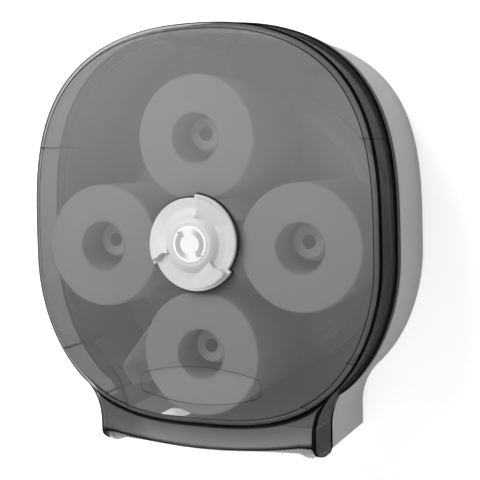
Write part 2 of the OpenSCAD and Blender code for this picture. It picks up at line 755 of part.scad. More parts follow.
// At rest the cam points sideways, turned out of the catch
module lock_cam() color([0.6, 0.61, 0.63])
    translate([0, -lock_reach, 0])
        difference() {
            union() {
                translate([0, 0, cam_low]) cylinder(r = cam_half + 1, h = cam_t, $fn = SMALL);
                translate([0, -cam_half, cam_low]) cube([tip_in + 1, 2 * cam_half, cam_t]);
                intersection() {
                    translate([0, -cam_half, cam_low]) cube([cam_reach + 1, 2 * cam_half, hook_top - cam_low]);
                    difference() {
                        translate([0, 0, cam_low]) cylinder(r = cam_reach, h = hook_top - cam_low, $fn = TURNED);
                        translate([0, 0, cam_low - 1]) cylinder(r = tip_in, h = hook_top - cam_low + 2, $fn = TURNED);
                    }
                }
            }
            translate([0, 0, cam_low - 1]) cylinder(r = cam_screw_r + 0.15, h = cam_t + 2, $fn = SMALL);
        }

module cam_screw() color([0.75, 0.76, 0.78])
    translate([0, -lock_reach, 0])
        rotate_extrude($fn = SMALL)
            polygon([[0, cam_low - cam_screw_head_t], [cam_screw_head_r - 0.6, cam_low - cam_screw_head_t],
                [cam_screw_head_r, cam_low - 0.05], [cam_screw_r - 0.05, cam_low - 0.05],
                [cam_screw_r - 0.05, cam_top + 4.5], [0, cam_top + 4.5]]);

// ---- Knob ----

// Share of a lobe's angle, from 0 at its start to 1 at its end, where it drops back in one step
function lobe_part(a) =
    let (turn = (a - STEP_ANGLES[0]) / 360 * lobes)
    turn - floor(turn);

// Radius of the lobed rim: it grows from the start of a lobe to its end
function lobe_radius(part) = knob_r - lobe_step * pow(1 - part, 1.3);

module pinwheel(g) {
    per_lobe = 20;
    polygon([for (i = [0:lobes - 1]) for (j = [0:per_lobe])
        let (part = j == 0 ? 0.01 : j == per_lobe ? 0.985 : j / per_lobe,
             a = STEP_ANGLES[i] + 360 / lobes * part,
             r = lobe_radius(part) + g)
        r * [cos(a), sin(a)]]);
}

// Ramp of one lobe: its front rises from the plate to a steep, slightly curved end wall
RAMP_STEPS = 14;
RAMP_ROWS = 6;
function ramp_point(a_end, i, j, top) =
    let (u = i / RAMP_STEPS,
         v = j / (RAMP_ROWS - 1),
         bend = -4 * sin(180 * min(1, v * 1.6)) * pow(u, 3),
         draft = top ? 0 : 2.5 * u,
         a = a_end - ramp_span * (1 - u) + bend + draft,
         rim = lobe_radius(lobe_part(a)) - (top ? 2.4 : 2),
         r = ramp_in + (rim - ramp_in) * v,
         out = top ? plate_front - 0.3 + (ramp_rise + 0.3) * pow(u, 1.15) * (v == 0 || v == 1 ? 0.88 : 1)
                   : plate_front - 1.3)
    [r * cos(a), -out, r * sin(a)];

// Two triangles over the four corners q
function halves(q) = [[q[0], q[2], q[1]], [q[0], q[3], q[2]]];

module ramp(a_end) {
    loop = 2 * RAMP_ROWS;
    last = RAMP_STEPS * loop;
    points = [for (i = [0:RAMP_STEPS]) for (k = [0:loop - 1])
        k < RAMP_ROWS ? ramp_point(a_end, i, k, false) : ramp_point(a_end, i, loop - 1 - k, true)];
    sides = [for (i = [0:RAMP_STEPS - 1]) for (k = [0:loop - 1])
        [i * loop + k, (i + 1) * loop + k, (i + 1) * loop + (k + 1) % loop, i * loop + (k + 1) % loop]];
    caps = [for (k = [0:RAMP_ROWS - 2]) [k, k + 1, loop - 2 - k, loop - 1 - k]];
    far_caps = [for (k = [0:RAMP_ROWS - 2])
        [last + loop - 1 - k, last + loop - 2 - k, last + k + 1, last + k]];
    polyhedron(points, [for (q = concat(sides, caps, far_caps)) for (h = halves(q)) h]);
}

module knob() color([0.9, 0.9, 0.9])
    difference() {
        union() {
            outwards(plate_back, plate_front - 0.8) pinwheel(-0.8);
            outwards(plate_back + 0.5, plate_front) pinwheel(-1.6);
            for (a = STEP_ANGLES) ramp(a - 5.5);
            turned([[stem_r + SLIP, plate_back], [dome_foot_r, plate_back + 1], [dome_foot_r, plate_front],
                [dome_foot_r - 5, plate_front + 1], [button_r + 4, dome_front - 1.4], [button_r + 1.5, dome_front],
                [button_r + 0.1, dome_front], [button_r + 0.1, button_back], [0, button_back], [0, web_back],
                [stem_r + SLIP, web_back]]);
            ring(stem_r + SLIP, neck_r, neck_back, plate_back + 1);
        }
        rod(stem_r + SLIP, neck_back - 1, web_back);
        rod(2.3, web_back - 1, button_back + 1);
        rod(button_r + 0.1, button_back, button_back + 20, TURNED);
    }

module knob_backing() color([0.06, 0.06, 0.06])
    difference() {
        outwards(backing_back, plate_back - 0.05) pinwheel(0.4);
        rod(neck_r + 0.1, backing_back - 1, plate_back + 1, TURNED);
    }

module knob_button() color([0.97, 0.97, 0.97])
    turned([[0, button_back + 1.9], [button_r - 2, button_back + 1.9], [button_r - 2, button_back + 0.05],
        [button_r, button_back + 0.05], [button_r, button_front - 0.6], [button_r - 0.8, button_front],
        [0, button_front]]);

module knob_screw() color([0.75, 0.76, 0.78])
    turned([[0, flange_back + 1], [1.85, flange_back + 1], [1.85, button_back + 0.05], [4, button_back + 0.05],
        [3.2, button_back + 1.7], [0, button_back + 1.7]], SMALL);

module knob_washer() color([0.88, 0.88, 0.84])
    ring(neck_r + 0.3, flange_r, flange_front + 0.15, flange_front + 0.15 + knob_washer_t);

// Clamps the knob to the cover from inside and turns the carousel's tube
module drive_coupler() color([0.5, 0.5, 0.5])
    difference() {
        union() {
            turned([[0, blade_back], [shaft_r - 1, blade_back], [shaft_r, blade_back + 1], [shaft_r, flange_back],
                [flange_r, flange_back], [flange_r, flange_front], [stem_r, flange_front],
                [stem_r, web_back - 0.1], [0, web_back - 0.1]]);
            for (a = [0, 90])
                rotate([0, a, 0]) translate([-blade_half, -flange_back - 0.5, -blade_t / 2])
                    cube([2 * blade_half, flange_back + 0.5 - blade_back, blade_t]);
        }
        rod(1.9, flange_back + 0.5, web_back + 1);
    }

// ---- Assembly ----

rear_housing();
axle();
thrust_washer();
brake_washer();
axle_nut();
for (i = [0:1]) hinge_pin(2 * i - 1);
carousel_wheel();
drive_tube();
tube_screws();
post_screws();
for (k = [0:3]) roll_post(k);
for (k = [0:3]) roll_core(k);
for (k = [0:3]) paper_roll(k);
paper_tail();
front_cover();
lock_box();
lock_barrel();
lock_cam();
cam_screw();
knob();
knob_backing();
knob_button();
knob_screw();
knob_washer();
drive_coupler();
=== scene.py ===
"""Dressed model of a wall-mounted dispenser whose carousel carries four toilet rolls.

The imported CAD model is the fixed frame. All sizes in the classes below are millimetres
in the CAD's own terms: x to the right, z up, and reach out from the wall, so a point of
reach r lies at y = -r. Points become metres where a mesh is made of them.
"""

from __future__ import annotations

import logging
import math
from collections.abc import Sequence
from dataclasses import dataclass
from enum import Enum, IntEnum
from functools import cached_property

import bmesh
import bpy
import numpy as np
from mathutils import Matrix, Vector


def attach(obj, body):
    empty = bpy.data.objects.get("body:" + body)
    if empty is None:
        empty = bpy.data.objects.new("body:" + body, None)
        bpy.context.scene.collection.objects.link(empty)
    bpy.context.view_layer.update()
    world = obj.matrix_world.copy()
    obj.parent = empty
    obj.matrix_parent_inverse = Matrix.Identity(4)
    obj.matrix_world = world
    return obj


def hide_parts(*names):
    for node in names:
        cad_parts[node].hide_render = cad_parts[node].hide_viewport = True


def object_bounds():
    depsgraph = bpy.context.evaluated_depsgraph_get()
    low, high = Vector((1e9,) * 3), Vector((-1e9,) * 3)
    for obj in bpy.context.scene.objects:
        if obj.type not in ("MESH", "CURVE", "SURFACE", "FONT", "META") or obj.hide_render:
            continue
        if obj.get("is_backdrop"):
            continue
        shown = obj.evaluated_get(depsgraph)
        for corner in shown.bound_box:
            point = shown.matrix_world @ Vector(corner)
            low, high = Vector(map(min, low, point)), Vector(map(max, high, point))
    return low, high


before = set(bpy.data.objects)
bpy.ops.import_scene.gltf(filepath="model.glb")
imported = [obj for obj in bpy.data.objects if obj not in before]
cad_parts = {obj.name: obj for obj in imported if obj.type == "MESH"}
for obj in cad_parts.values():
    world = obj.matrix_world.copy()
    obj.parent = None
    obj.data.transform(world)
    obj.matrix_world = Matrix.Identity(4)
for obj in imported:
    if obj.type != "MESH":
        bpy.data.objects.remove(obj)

logging.basicConfig(level=logging.INFO, format="%(levelname)s %(message)s")
LOG = logging.getLogger("dispenser")

TAU = 2.0 * math.pi
MM = 0.001  # A millimetre in metres
PER_METRE = 1000.0  # Millimetres in a metre
Array = np.ndarray


# ---------------------------------------------------------------------------
# Small numeric helpers
# ---------------------------------------------------------------------------


def smooth(value: Array | float) -> Array:
    """Clamps value to 0..1 and eases it with 3v^2 - 2v^3.

    Args:
        value: A number or an array of numbers.

    Returns:
        The eased value, with level ends.
    """
    v = np.clip(value, 0.0, 1.0)
    return v * v * (3.0 - 2.0 * v)


def points(x: Array | float, z: Array | float, reach: Array | float) -> Array:
    """Stacks x, z and reach in millimetres into points in metres, (x, -reach, z).

    Args:
        x: Distance to the right of the carousel axis.
        z: Height above the carousel axis.
        reach: Distance out from the wall.

    Returns:
        An array with one more axis than the inputs, of length 3.
    """
    x, z, reach = np.broadcast_arrays(np.asarray(x, float), np.asarray(z, float), np.asarray(reach, float))
    return np.stack([x, -reach, z], axis=-1) * MM


def rounded(profile: Sequence[tuple[float, float]], radius: float, steps: int = 4, closed: bool = False) -> Array:
    """Rounds the corners of a polyline with quadratic curves.

    A corner P with neighbours A and B is replaced by (1-s)^2 P1 + 2s(1-s) P + s^2 P2,
    where P1 and P2 lie on its two sides, at most radius from P and at most 0.45 of a side.

    Args:
        profile: Corner points.
        radius: Distance from a corner at which its curve begins.
        steps: Segments of each curve.
        closed: Whether the last corner joins the first.

    Returns:
        The rounded polyline as rows of two numbers.
    """
    p = np.asarray(profile, float)
    before, after = np.roll(p, 1, axis=0) - p, np.roll(p, -1, axis=0) - p
    lb, la = np.linalg.norm(before, axis=1, keepdims=True), np.linalg.norm(after, axis=1, keepdims=True)
    cut_b, cut_a = np.minimum(radius, 0.45 * lb), np.minimum(radius, 0.45 * la)
    if not closed:
        cut_b[[0, -1]] = cut_a[[0, -1]] = 0.0
    start = p + before / np.maximum(lb, 1e-9) * cut_b
    end = p + after / np.maximum(la, 1e-9) * cut_a
    s = np.linspace(0.0, 1.0, steps + 1)[None, :, None]
    curve = (1 - s) ** 2 * start[:, None] + 2 * s * (1 - s) * p[:, None] + s**2 * end[:, None]
    if closed:
        return curve.reshape(-1, 2)
    return np.concatenate([p[:1], curve[1:-1].reshape(-1, 2), p[-1:]])


# ---------------------------------------------------------------------------
# Meshes from grids of points
# ---------------------------------------------------------------------------


class Skin:
    """Gathers grids of points and makes one mesh object of them."""

    def __init__(self, name: str) -> None:
        """Starts an empty skin.

        Args:
            name: Name of the object that it becomes.
        """
        self.name = name
        self._points: list[Array] = []
        self._faces: list[Array] = []
        self._slots: list[Array] = []
        self._tones: list[Array] = []
        self._count = 0

    def grid(
        self,
        grid: Array,
        slot: int | Array = 0,
        close_rows: bool = False,
        close_columns: bool = False,
        tone: Array | float = 0.0,
    ) -> Skin:
        """Adds a grid of points, with one quad between each four neighbours.

        Args:
            grid: Points in metres, rows by columns by 3.
            slot: Material slot of all quads, or one number for each row of quads or for each quad.
            close_rows: Whether the last row joins the first.
            close_columns: Whether the last column joins the first.
            tone: Pattern value of the points, rows by columns or one number.

        Returns:
            The skin itself.
        """
        rows, columns = grid.shape[:2]
        index = np.arange(rows * columns).reshape(rows, columns) + self._count
        if close_rows:
            index = np.concatenate([index, index[:1]])
        if close_columns:
            index = np.concatenate([index, index[:, :1]], axis=1)
        quads = np.stack([index[:-1, :-1], index[:-1, 1:], index[1:, 1:], index[1:, :-1]], axis=-1)
        self._points.append(grid.reshape(-1, 3))
        self._faces.append(quads.reshape(-1, 4))
        slots = np.asarray(slot)
        slots = slots if slots.ndim == 2 else slots.reshape(-1, 1)
        self._slots.append(np.broadcast_to(slots, quads.shape[:2]).reshape(-1))
        self._tones.append(np.broadcast_to(np.asarray(tone, float), (rows, columns)).reshape(-1))
        self._count += rows * columns
        return self

    def bridge(self, first: Array, second: Array, slot: int = 0, closed: bool = False) -> Skin:
        """Joins two lines of points with one row of quads.

        Args:
            first: Points in metres.
            second: As many points.
            slot: Material slot of the quads.
            closed: Whether the lines are rings.

        Returns:
            The skin itself.
        """
        return self.grid(np.stack([first, second]), slot, close_columns=closed)

    def object(
        self, finishes: Sequence[bpy.types.Material], crease: float = 32.0, weld: float = 4e-6
    ) -> bpy.types.Object:
        """Makes the mesh object: welds its grids, turns its faces outwards and shades it smooth.

        Args:
            finishes: Materials in the order of the slots.
            crease: Angle in degrees above which an edge stays sharp.
            weld: Distance in metres within which points become one.

        Returns:
            The new object, linked to the scene.
        """
        mesh = bpy.data.meshes.new(self.name)
        mesh.from_pydata(np.concatenate(self._points).tolist(), [], np.concatenate(self._faces).tolist())
        mesh.polygons.foreach_set("material_index", np.concatenate(self._slots).astype(np.int32))
        tones = np.concatenate(self._tones)
        if np.ptp(tones) > 0:
            layer = mesh.attributes.new("tone", "FLOAT", "POINT")
            layer.data.foreach_set("value", tones.astype(np.float32))
        work = bmesh.new()
        work.from_mesh(mesh)
        bmesh.ops.remove_doubles(work, verts=work.verts, dist=weld)
        bmesh.ops.dissolve_degenerate(work, edges=work.edges, dist=weld / 4)
        bmesh.ops.recalc_face_normals(work, faces=work.faces)
        work.to_mesh(mesh)
        work.free()
        for finish in finishes:
            mesh.materials.append(finish)
        mesh.polygons.foreach_set("use_smooth", np.ones(len(mesh.polygons), bool))
        mesh.set_sharp_from_angle(angle=math.radians(crease))
        mesh.update()
        made = bpy.data.objects.new(self.name, mesh)
        bpy.context.scene.collection.objects.link(made)
        return made


def lathe(profile: Array, centre: tuple[float, float] = (0.0, 0.0), turns: int = 128) -> Array:
    """Turns a profile about an axis parallel to the carousel's.

    Point (row, column) is centre + r (sin a, cos a) at the profile's reach, where a runs once round.

    Args:
        profile: Rows of radius and reach.
        centre: The axis, as x and z.
        turns: Number of columns.

    Returns:
        A grid of points in metres whose columns close.
    """
    a = np.linspace(0.0, TAU, turns, endpoint=False)
    r, reach = np.asarray(profile, float).T
    return points(centre[0] + r[:, None] * np.sin(a), centre[1] + r[:, None] * np.cos(a), reach[:, None] + 0 * a)


def turned(name: str, profile: Array, centre: tuple[float, float] = (0.0, 0.0), turns: int = 128) -> Skin:
    """Turns a closed profile into a skin without openings; the arguments after name are those of lathe."""
    return Skin(name).grid(lathe(profile, centre, turns), close_rows=True, close_columns=True)


# ---------------------------------------------------------------------------
# Label field
# ---------------------------------------------------------------------------


@dataclass(frozen=True)
class LabelField:
    """Field for a label low on the cover's face, inside a fine raised line."""

    half: float = 57.0
    top: float = -106.0
    low: float = -139.5
    bow_top: float = 7.0
    bow_low: float = 7.5
    corner: float = 6.0
    line: float = 0.9

    def outline(self, t: float) -> Array:
        """Outline of the field pulled in by t: rounded corners joined by bows that sag by k u^2.

        Args:
            t: Distance in millimetres by which it is pulled in.

        Returns:
            Its points as rows of x and z.
        """
        c, r = self.corner, self.corner - t
        q = np.linspace(0.0, math.pi / 2, 10)
        u = np.linspace(1.0, -1.0, 25)[1:-1]
        cx = self.half - c
        hi, lo = self.top - self.bow_top - c, self.low + self.bow_low + c
        arcs = [
            (cx + r * np.cos(q), hi + r * np.sin(q)),
            (cx * u, self.top - t - self.bow_top * u**2),
            (-cx - r * np.sin(q), hi + r * np.cos(q)),
            (-cx - r * np.cos(q), lo - r * np.sin(q)),
            (-cx * u, self.low + t + self.bow_low * u**2),
            (cx + r * np.sin(q), lo - r * np.cos(q)),
        ]
        return np.concatenate([np.stack(arc, -1) for arc in arcs])

    def holds(self, x: Number, z: Number, margin: float = 0.5) -> Number:
        """1 inside the field and 0 outside it, as shader maths.

        Args:
            x: Position in millimetres.
            z: Position in millimetres.
            margin: How far inside the outline the field ends.

        Returns:
            The mask.
        """
        bow = (x / (self.half - self.corner)) ** 2.0
        across = x.size() < self.half - margin
        return across * (z + bow * self.bow_top < self.top - margin) * (z - bow * self.bow_low > self.low + margin)


LABEL = LabelField()


# ---------------------------------------------------------------------------
# Materials
# ---------------------------------------------------------------------------


class Number:
    """Wraps a socket that carries a number, so that shader maths reads as plain arithmetic."""

    def __init__(self, maker: Finish, socket: bpy.types.NodeSocket) -> None:
        """Wraps a socket.

        Args:
            maker: The finish whose nodes it belongs to.
            socket: The output socket.
        """
        self.maker = maker
        self.socket = socket

    def _math(self, operation: str, *values: Number | float) -> Number:
        """Adds a Math node on the given values."""
        node = self.maker.node("ShaderNodeMath", {"operation": operation}, dict(enumerate(values)))
        return Number(self.maker, node.outputs[0])

    def __add__(self, other: Number | float) -> Number:
        """Sum."""
        return self._math("ADD", self, other)

    __radd__ = __add__

    def __sub__(self, other: Number | float) -> Number:
        """Difference."""
        return self._math("SUBTRACT", self, other)

    def __rsub__(self, other: float) -> Number:
        """Difference from a plain number."""
        return self._math("SUBTRACT", other, self)

    def __mul__(self, other: Number | float) -> Number:
        """Product."""
        return self._math("MULTIPLY", self, other)

    __rmul__ = __mul__

    def __truediv__(self, other: Number | float) -> Number:
        """Quotient."""
        return self._math("DIVIDE", self, other)

    def __pow__(self, other: float) -> Number:
        """Power."""
        return self._math("POWER", self, other)

    def __gt__(self, other: Number | float) -> Number:
        """1 where this is greater, else 0."""
        return self._math("GREATER_THAN", self, other)

    def __lt__(self, other: Number | float) -> Number:
        """1 where this is less, else 0."""
        return self._math("LESS_THAN", self, other)

    def least(self, other: Number | float) -> Number:
        """Smaller of the two."""
        return self._math("MINIMUM", self, other)

    def most(self, other: Number | float) -> Number:
        """Larger of the two."""
        return self._math("MAXIMUM", self, other)

    def sine(self) -> Number:
        """Sine of this, in radians."""
        return self._math("SINE", self)

    def size(self) -> Number:
        """Absolute value."""
        return self._math("ABSOLUTE", self)

    def fraction(self) -> Number:
        """Part after the decimal point."""
        return self._math("FRACT", self)

    def angle_to(self, other: Number) -> Number:
        """Angle of the point (other, self), in radians."""
        return self._math("ARCTAN2", self, other)

    def step(self, low: float, high: float) -> Number:
        """Eased step from 0 at low to 1 at high."""
        kit = {"data_type": "FLOAT", "interpolation_type": "SMOOTHSTEP"}
        node = self.maker.node("ShaderNodeMapRange", kit, {"Value": self, "From Min": low, "From Max": high})
        return Number(self.maker, node.outputs["Result"])

    def between(self, low: float, high: float) -> Number:
        """Carries 0..1 to low..high."""
        return self * (high - low) + low


Colour = tuple[float, float, float]
Input = "Number | bpy.types.NodeSocket | float | Sequence[float]"


def scaled(colour: Colour, factor: float) -> Colour:
    """A colour times a factor, at most white."""
    return tuple(min(1.0, part * factor) for part in colour)


class Finish:
    """One material: its nodes are all made by the method node."""

    def __init__(self, name: str) -> None:
        """Starts an empty material.

        Args:
            name: Name of the material.
        """
        self.material = bpy.data.materials.new(name)
        self.material.use_nodes = True
        self.tree = self.material.node_tree
        self.tree.nodes.clear()
        self._place: bpy.types.NodeSocket | None = None

    def node(self, kind: str, settings: dict | None = None, inputs: dict | None = None) -> bpy.types.Node:
        """Adds a node.

        Args:
            kind: The node's type.
            settings: Its properties, set before its sockets; "stops" fills a colour ramp.
            inputs: Values or links for its sockets, by name or number.

        Returns:
            The node.
        """
        made = self.tree.nodes.new(kind)
        for key, value in (settings or {}).items():
            if key == "stops":
                ramp = made.color_ramp
                while len(ramp.elements) < len(value):
                    ramp.elements.new(0.5)
                for element, (at, colour) in zip(ramp.elements, value):
                    element.position, element.color = at, (*colour, 1.0)
            else:
                setattr(made, key, value)
        for key, value in (inputs or {}).items():
            socket = made.inputs[key]
            if isinstance(value, Number):
                self.tree.links.new(value.socket, socket)
            elif isinstance(value, bpy.types.NodeSocket):
                self.tree.links.new(value, socket)
            elif isinstance(value, (tuple, list)) and len(value) == 3 and len(socket.default_value) == 4:
                socket.default_value = (*value, 1.0)
            else:
                socket.default_value = value
        return made

    @property
    def place(self) -> bpy.types.NodeSocket:
        """Position on the object, in metres."""
        if self._place is None:
            self._place = self.node("ShaderNodeTexCoord").outputs["Object"]
        return self._place

    def axes(self, origin: Sequence[float] = (0.0, 0.0, 0.0)) -> tuple[Number, Number, Number]:
        """Position in millimetres from an origin.

        Args:
            origin: The origin, in metres.

        Returns:
            The three distances along x, y and z.
        """
        shift = [-PER_METRE * v for v in origin]
        inputs = {"Vector": self.place, "Location": shift, "Scale": (PER_METRE, PER_METRE, PER_METRE)}
        moved = self.node("ShaderNodeMapping", {}, inputs)
        split = self.node("ShaderNodeSeparateXYZ", {}, {0: moved.outputs[0]})
        return tuple(Number(self, out) for out in split.outputs[:3])

    def about(self, centre: tuple[float, float]) -> tuple[Number, Number, Number]:
        """Position in millimetres from an axis along y, given by its x and z in millimetres."""
        return self.axes((centre[0] * MM, 0.0, centre[1] * MM))

    def noise(
        self, scale: float, detail: float = 3.0, rough: float = 0.5, stretch: Sequence[float] = (1, 1, 1)
    ) -> Number:
        """Noise from 0 to 1 with the given number of cells to a metre.

        Args:
            scale: Cells in a metre.
            detail: Octaves.
            rough: Strength of the finer octaves.
            stretch: Factors on the three axes.

        Returns:
            The noise.
        """
        moved = self.node("ShaderNodeMapping", {}, {"Vector": self.place, "Scale": tuple(float(s) for s in stretch)})
        inputs = {"Vector": moved.outputs[0], "Scale": scale, "Detail": detail, "Roughness": rough}
        node = self.node("ShaderNodeTexNoise", {}, inputs)
        return Number(self, node.outputs["Fac"])

    def mix(
        self, share: Number, first: Colour | bpy.types.NodeSocket, second: Colour | bpy.types.NodeSocket
    ) -> bpy.types.NodeSocket:
        """Mixes two colours.

        Args:
            share: Share of the second, from 0 to 1.
            first: The colour at 0.
            second: The colour at 1.

        Returns:
            The mixed colour.
        """
        node = self.node("ShaderNodeMix", {"data_type": "RGBA"}, {0: share, 6: first, 7: second})
        return node.outputs[2]

    def bump(self, height: Number, depth_mm: float, strength: float = 1.0) -> bpy.types.NodeSocket:
        """Raises the surface.

        Args:
            height: Pattern of the height, about 0 to 1.
            depth_mm: Height in millimetres where the pattern is 1.
            strength: Share of the effect.

        Returns:
            The surface's new normal.
        """
        node = self.node("ShaderNodeBump", {}, {"Height": height, "Distance": depth_mm * MM, "Strength": strength})
        return node.outputs[0]

    def surface(self, **sockets: Input) -> bpy.types.Material:
        """Ends the material in a Principled shader.

        Args:
            sockets: Its inputs, with _ for a space.

        Returns:
            The finished material.
        """
        named = {key.replace("_", " "): value for key, value in sockets.items()}
        shader = self.node("ShaderNodeBsdfPrincipled", {}, named)
        out = self.node("ShaderNodeOutputMaterial")
        self.tree.links.new(shader.outputs[0], out.inputs[0])
        return self.material


@dataclass(frozen=True)
class Plastic:
    """Moulded plastic: fine spark-eroded grain, faint flow mottling and slight rub marks."""

    name: str
    colour: Colour
    rough: float = 0.42
    grain: float = 0.012
    mottle: float = 0.06

    def make(self) -> bpy.types.Material:
        """Builds the material."""
        kit = Finish(self.name)
        flow = kit.noise(14.0, 4.0, 0.6)
        fine = kit.noise(2600.0, 2.0)
        rub = kit.noise(90.0, 5.0, 0.65, (1, 1, 0.25)).step(0.52, 0.78)
        return kit.surface(
            Base_Color=kit.mix(flow, scaled(self.colour, 1 - self.mottle), scaled(self.colour, 1 + self.mottle)),
            Roughness=(rub * 0.08 + fine * 0.06 + self.rough - 0.05).least(1.0),
            IOR=1.5,
            Normal=kit.bump(fine, self.grain),
        )


@dataclass(frozen=True)
class Smoke:
    """Clear plastic with a smoke tint. Each surface passes a share of the light, so a wall passes its square."""

    name: str
    tint: Colour
    opacity: float
    rough: float = 0.09
    haze: float = 0.02
    bend: float = 1.49
    turned: bool = False
    dark_left: float = 0.0
    milky_top: float = 0.0
    clear_label: float = 0.0

    def make(self) -> bpy.types.Material:
        """Builds the material.

        Four fields change it from place to place:
        turned: It grows dense as its surface turns edge-on, as thick glass does, and its colour is painted near black
            there as painted shade, for the dark edges that refraction gives.
        dark_left: Painted shade: it grows denser by this much towards its left end, over x from -60 to -76, for the
            shade that lies behind the chin's left end.
        milky_top: Painted light and shade: its tint grows paler by this share towards the top and deeper towards the
            bottom, over z from -120 to 130, and its density follows by a tenth of that, painting a veil of light on the
            upper part and shade on the lower part.
        clear_label: It is thinner by this much in the label field.
        """
        kit = Finish(self.name)
        cloud = kit.noise(9.0, 3.0, 0.55)
        scratch = kit.noise(420.0, 6.0, 0.7, (1, 1, 0.08)).step(0.6, 0.8)
        wave = kit.noise(5.0, 1.0)
        colour = kit.mix(cloud, scaled(self.tint, 0.93), scaled(self.tint, 1.07))
        cover = cloud.between(self.opacity - self.haze, self.opacity + self.haze)
        # Painted light and shade: the tint is paler towards the top and deeper towards the bottom
        if self.milky_top:
            height = kit.axes()[2].step(-120.0, 130.0)
            colour = kit.mix(height, scaled(self.tint, 1 - self.milky_top), scaled(self.tint, 1 + self.milky_top))
            cover = cover + (height * 2.0 - 1.0) * (0.1 * self.milky_top)
        if self.clear_label:
            x, _, z = kit.axes()
            cover = cover - LABEL.holds(x, z) * self.clear_label
        # Painted shade: denser towards the left end, for the shade behind the chin there
        if self.dark_left:
            cover = cover + (kit.axes()[0] * -1.0).step(60.0, 76.0) * self.dark_left
        # Painted shade: where the surface is edge-on its colour goes near black and its density full
        if self.turned:
            facing = kit.node("ShaderNodeLayerWeight", {}, {"Blend": 0.5}).outputs["Facing"]
            edge_on = Number(kit, facing).step(0.35, 0.80)
            colour = kit.mix(edge_on, colour, (0.002, 0.002, 0.002))
            cover = cover.most(edge_on)
        return kit.surface(
            Base_Color=colour,
            Alpha=cover.least(1.0),
            Roughness=scratch.between(self.rough, self.rough + 0.10),
            IOR=self.bend,
            Normal=kit.bump(wave, 0.4),
        )


@dataclass(frozen=True)
class RollFace:
    """End of a wound roll: the edges of its layers show as fine, slightly uneven rings."""

    name: str
    centre: tuple[float, float]
    colour: Colour = (0.74, 0.74, 0.722)

    def make(self) -> bpy.types.Material:
        """Builds the material."""
        kit = Finish(self.name)
        x, _, z = kit.about(self.centre)
        radius = (x * x + z * z) ** 0.5
        drift = kit.noise(28.0, 3.0)
        rings = ((radius + drift * 5.0) * (TAU / 1.35)).sine() * 0.5 + 0.5
        fine = ((radius + drift * 2.0) * (TAU / 0.42)).sine() * 0.5 + 0.5
        fuzz = kit.noise(1500.0, 3.0, 0.6)
        layers = rings * 0.35 + fine * 0.35 + fuzz * 0.3
        return kit.surface(
            Base_Color=kit.mix(layers, scaled(self.colour, 0.93), self.colour),
            Roughness=0.9,
            Specular_IOR_Level=0.25,
            Normal=kit.bump(layers, 0.10),
        )


@dataclass(frozen=True)
class RollSide:
    """Outside of a wound roll: pressed dots in offset rows, soft creases and a line of perforation."""

    name: str
    centre: tuple[float, float]
    radius: float
    colour: Colour = (0.76, 0.76, 0.742)

    def make(self) -> bpy.types.Material:
        """Builds the material."""
        kit = Finish(self.name)
        x, y, z = kit.about(self.centre)
        arc = x.angle_to(z) * self.radius
        across = (arc * (TAU / 5.654)).sine() * (y * (TAU / 5.6)).sine()
        dots = across.size().step(0.35, 0.9)
        crease = kit.noise(60.0, 4.0, 0.6, (1, 0.35, 1))
        fuzz = kit.noise(1800.0, 2.0)
        sheet = (arc - 20.0).size()
        holes = (sheet < 0.5) * ((y * 0.4).fraction() < 0.6)
        height = dots * 0.55 + crease * 0.7 + fuzz * 0.15 - holes * 0.6
        shade = (dots * 0.3 + crease * 0.7).least(1.0)
        return kit.surface(
            Base_Color=kit.mix(shade, scaled(self.colour, 0.95), self.colour),
            Roughness=0.92,
            Specular_IOR_Level=0.2,
            Normal=kit.bump(height, 0.22),
        )


@dataclass(frozen=True)
class Tissue:
    """Loose paper: two thin plies with pressed dots and soft creases."""

    name: str
    colour: Colour = (0.86, 0.86, 0.84)

    def make(self) -> bpy.types.Material:
        """Builds the material."""
        kit = Finish(self.name)
        x, y, z = kit.axes()
        dots = ((x - z) * (TAU / 8.0)).sine() * (y * (TAU / 5.6)).sine()
        crease = kit.noise(45.0, 4.0, 0.6)
        height = dots.size().step(0.35, 0.9) * 0.5 + crease
        return kit.surface(
            Base_Color=kit.mix(crease, scaled(self.colour, 0.94), self.colour),
            Roughness=0.92,
            Specular_IOR_Level=0.2,
            Normal=kit.bump(height, 0.2),
        )


@dataclass(frozen=True)
class Board:
    """Pale grey board wound into a tube: fibres, flecks and the spiral seam of its plies."""

    name: str
    centre: tuple[float, float]
    colour: Colour = (0.66, 0.655, 0.64)

    def make(self) -> bpy.types.Material:
        """Builds the material."""
        kit = Finish(self.name)
        x, y, z = kit.about(self.centre)
        lead = x.angle_to(z) * (1.0 / TAU) + y * (1.0 / 62.0)
        seam = (lead.fraction() - 0.5).size() < 0.012
        fibre = kit.noise(700.0, 5.0, 0.65, (1, 0.3, 1))
        fleck = kit.noise(1600.0, 2.0).step(0.68, 0.75)
        shade = (fibre * 0.8 + fleck * 0.4 - seam * 0.5).most(0.0).least(1.0)
        return kit.surface(
            Base_Color=kit.mix(shade, scaled(self.colour, 0.84), self.colour),
            Roughness=0.88,
            Specular_IOR_Level=0.3,
            Normal=kit.bump(fibre - seam * 0.8, 0.12),
        )


@dataclass(frozen=True)
class Metal:
    """Plated or polished steel with fine turning marks and a few dull spots."""

    name: str
    colour: Colour = (0.62, 0.63, 0.65)
    rough: float = 0.32

    def make(self) -> bpy.types.Material:
        """Builds the material."""
        kit = Finish(self.name)
        marks = kit.noise(900.0, 3.0, 0.5, (1, 6, 1))
        spots = kit.noise(160.0, 4.0, 0.6).step(0.5, 0.75)
        return kit.surface(
            Base_Color=kit.mix(spots, self.colour, scaled(self.colour, 0.8)),
            Metallic=1.0,
            Roughness=(marks * 0.1 + spots * 0.18 + self.rough - 0.05).least(1.0),
            Normal=kit.bump(marks, 0.01),
        )


